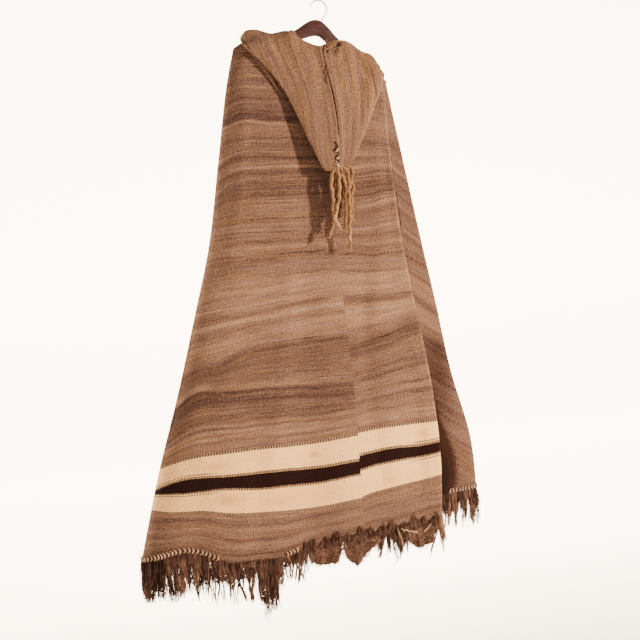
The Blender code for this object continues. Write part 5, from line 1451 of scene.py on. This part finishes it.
def hangerMesh():
    rise = curveThrough(hangerFacts["x"], hangerFacts["rise"])
    length, end, neck = cloak["armLength"], hangerFacts["endRound"], hangerFacts["neckHeight"]
    turn = -length * np.cos(np.linspace(0, pi, hangerFacts["stations"] + 1))
    turn = 0.5 * turn + 0.5 * np.linspace(-length, length, len(turn))
    halfRound = np.linspace(0, pi, 13)
    rings = []
    for t in turn:
        inEnd = min(max((abs(t) - (length - end)) / end, 0.0), 1.0)
        slim = max(sqrt(1 - inEnd ** 2), 0.12)
        full = neck + (hangerFacts["armHeight"] - neck) * smoothStep(abs(t) / hangerFacts["taper"])
        top, height = armTop(t) - full * (1 - slim) / 2, full * slim
        radius = hangerFacts["half"] * slim
        for middle, angle, share in ((top - radius, halfRound, 1.0),
                                     (top - height + radius, pi + halfRound, 0.4)):
            x, z = hang(t, middle + radius * np.sin(angle))
            rings.append(vectors(x, -radius * np.cos(angle), z + rise(x) * share))
    around = 2 * len(halfRound)
    index = np.arange(len(turn) * around).reshape(len(turn), around)
    following = np.roll(index, -1, axis=1)
    quads = np.stack([index[:-1], following[:-1], following[1:], index[1:]], -1).reshape(-1, 4)
    mesh = meshOf("woodenHanger", np.concatenate(rings), quads.tolist() + index[[0, -1]].tolist())
    outwardFaces(mesh)
    return mesh


def woodFinish():
    finish = Finish("mahogany", 0.32)
    place = finish.place()
    flow = finish.node("Mapping", {"Vector": place, "Scale": (9.0, 60.0, 60.0),
                                   "Rotation": (0, radians(13), 0)}).outputs[0]
    grain = finish.noise(flow, 3.0, 6.0, Distortion=0.8)
    colour = finish.ramp(grain, (0.30, hangerFacts["grain"]), (0.62, hangerFacts["wood"]))
    wearAndShade = finish.mapped(finish.noise(place, 38.0, 3.0), 0.60, 0.72, 0.0, 0.5)
    finish.set(baseColor=finish.blend(wearAndShade, colour, hangerFacts["wear"]), coatWeight=0.14,
               roughness=finish.mapped(grain, 0.0, 1.0, 0.26, 0.44))
    finish.bump(grain, 0.0004, 0.5)
    return finish.material


def steelFinish():
    finish = Finish("hookSteel", 0.28)
    noise = finish.noise(finish.place(), 260.0, 4.0)
    finish.set(baseColor=finish.ramp(noise, (0.30, hangerFacts["dullSteel"]), (0.62, hangerFacts["steel"])),
               metallic=1.0, roughness=finish.mapped(noise, 0.0, 1.0, 0.20, 0.42))
    return finish.material


dress("woodenHanger", hangerMesh(), woodFinish(), "hanger")
hook = bpy.data.objects["hook"].data.copy()
hook.materials.clear()
outwardFaces(hook, 0.00002)
wire = dress("wireHook", hook, steelFinish(), "hook")
bpy.ops.object.select_all(action="DESELECT")
bpy.context.view_layer.objects.active = wire
wire.select_set(True)
bpy.ops.object.shade_smooth_by_angle(angle=radians(50))
wire.select_set(False)
print("hanger ready")


# a floor with a curved back, light and camera
stageFacts = {"floorZ": -1.75, "frontY": -7.0, "backY": 3.4, "curve": 0.9, "top": 3.2, "half": 9.0,
              "paper": (0.92, 0.90, 0.87), "mottle": (0.80, 0.78, 0.74), "glow": 8.0}


def stageSweep():
    backY, curve, half = stageFacts["backY"], stageFacts["curve"], stageFacts["half"]
    line = [(stageFacts["frontY"], 0.0), (backY - curve, 0.0)]
    for angle in np.linspace(0, pi / 2, 13)[1:]:
        line.append((backY - curve + curve * sin(angle), curve * (1 - cos(angle))))
    line.append((backY, stageFacts["top"]))
    places = np.array([(x, y, stageFacts["floorZ"] + z) for x in (-half, half) for y, z in line])
    count = len(line)
    faces = [(k, k + 1, count + k + 1, count + k)[::-1] for k in range(count - 1)]
    finish = Finish("studioPaper", 0.9)
    place = finish.place()
    share = finish.times(finish.noise(place, 3.0, 2.0), 0.06)
    depth = finish.node("SeparateXYZ", {0: place}).outputs[1]
    finish.set(baseColor=finish.blend(share, stageFacts["paper"], stageFacts["mottle"]),
               emissionColor=(1.0, 0.83, 0.64, 1.0),
               emissionStrength=finish.mapped(depth, -0.3, 0.8, 0.0, stageFacts["glow"]))
    return link("studioSweep", meshOf("studioSweep", places, faces), finish.material)


stageSweep()

# each lamp's place, what it points at, its size, power and colour
lights = {
    "key": ((3.15, -2.55, 0.15), (0.0, 0.0, -0.72), 0.22, 540.0, (1.0, 0.87, 0.72)),
    "fill": ((-2.4, -3.0, 0.4), (0.0, 0.0, -0.8), 2.6, 9.0, (1.0, 0.93, 0.85)),
    "side": ((-2.6, -0.35, -0.5), (-0.3, 0.0, -0.7), 1.2, 42.0, (1.0, 0.90, 0.78)),
    "top": ((0.2, 0.9, 2.3), (0.0, 0.3, -0.8), 3.0, 40.0, (1.0, 0.97, 0.93)),
}
for name, (place, target, size, power, colour) in lights.items():
    lamp = bpy.data.lights.new(name, "AREA")
    lamp.size, lamp.energy, lamp.color = size, power, colour
    holder = bpy.data.objects.new(name, lamp)
    holder.location = place
    holder.rotation_euler = (Vector(target) - Vector(place)).to_track_quat("-Z", "Y").to_euler()
    bpy.context.scene.collection.objects.link(holder)

world = bpy.data.worlds.new("studioAir")
world.use_nodes = True
world.node_tree.nodes["Background"].inputs[0].default_value = (0.95, 0.93, 0.90, 1.0)
world.node_tree.nodes["Background"].inputs[1].default_value = 0.20
bpy.context.scene.world = world

yaw, down, roll = (radians(view[key]) for key in ("yaw", "down", "roll"))
level, sideways = Vector((sin(yaw), cos(yaw), 0)), Vector((cos(yaw), -sin(yaw), 0))
upright = Vector((0, 0, 1))
forward = level * cos(down) - upright * sin(down)
upward = upright * cos(down) + level * sin(down)
right = sideways * cos(roll) - upward * sin(roll)
top = sideways * sin(roll) + upward * cos(roll)
camera = bpy.data.objects.new("camera", bpy.data.cameras.new("camera"))
camera.data.lens, camera.data.sensor_width = view["lens"], 36.0
camera.matrix_world = Matrix([(*row, shift) for row, shift in zip(zip(right, top, -forward), view["from"])]
                             + [(0, 0, 0, 1)])
bpy.context.scene.collection.objects.link(camera)
bpy.context.scene.camera = camera
print("stage, light and camera ready")
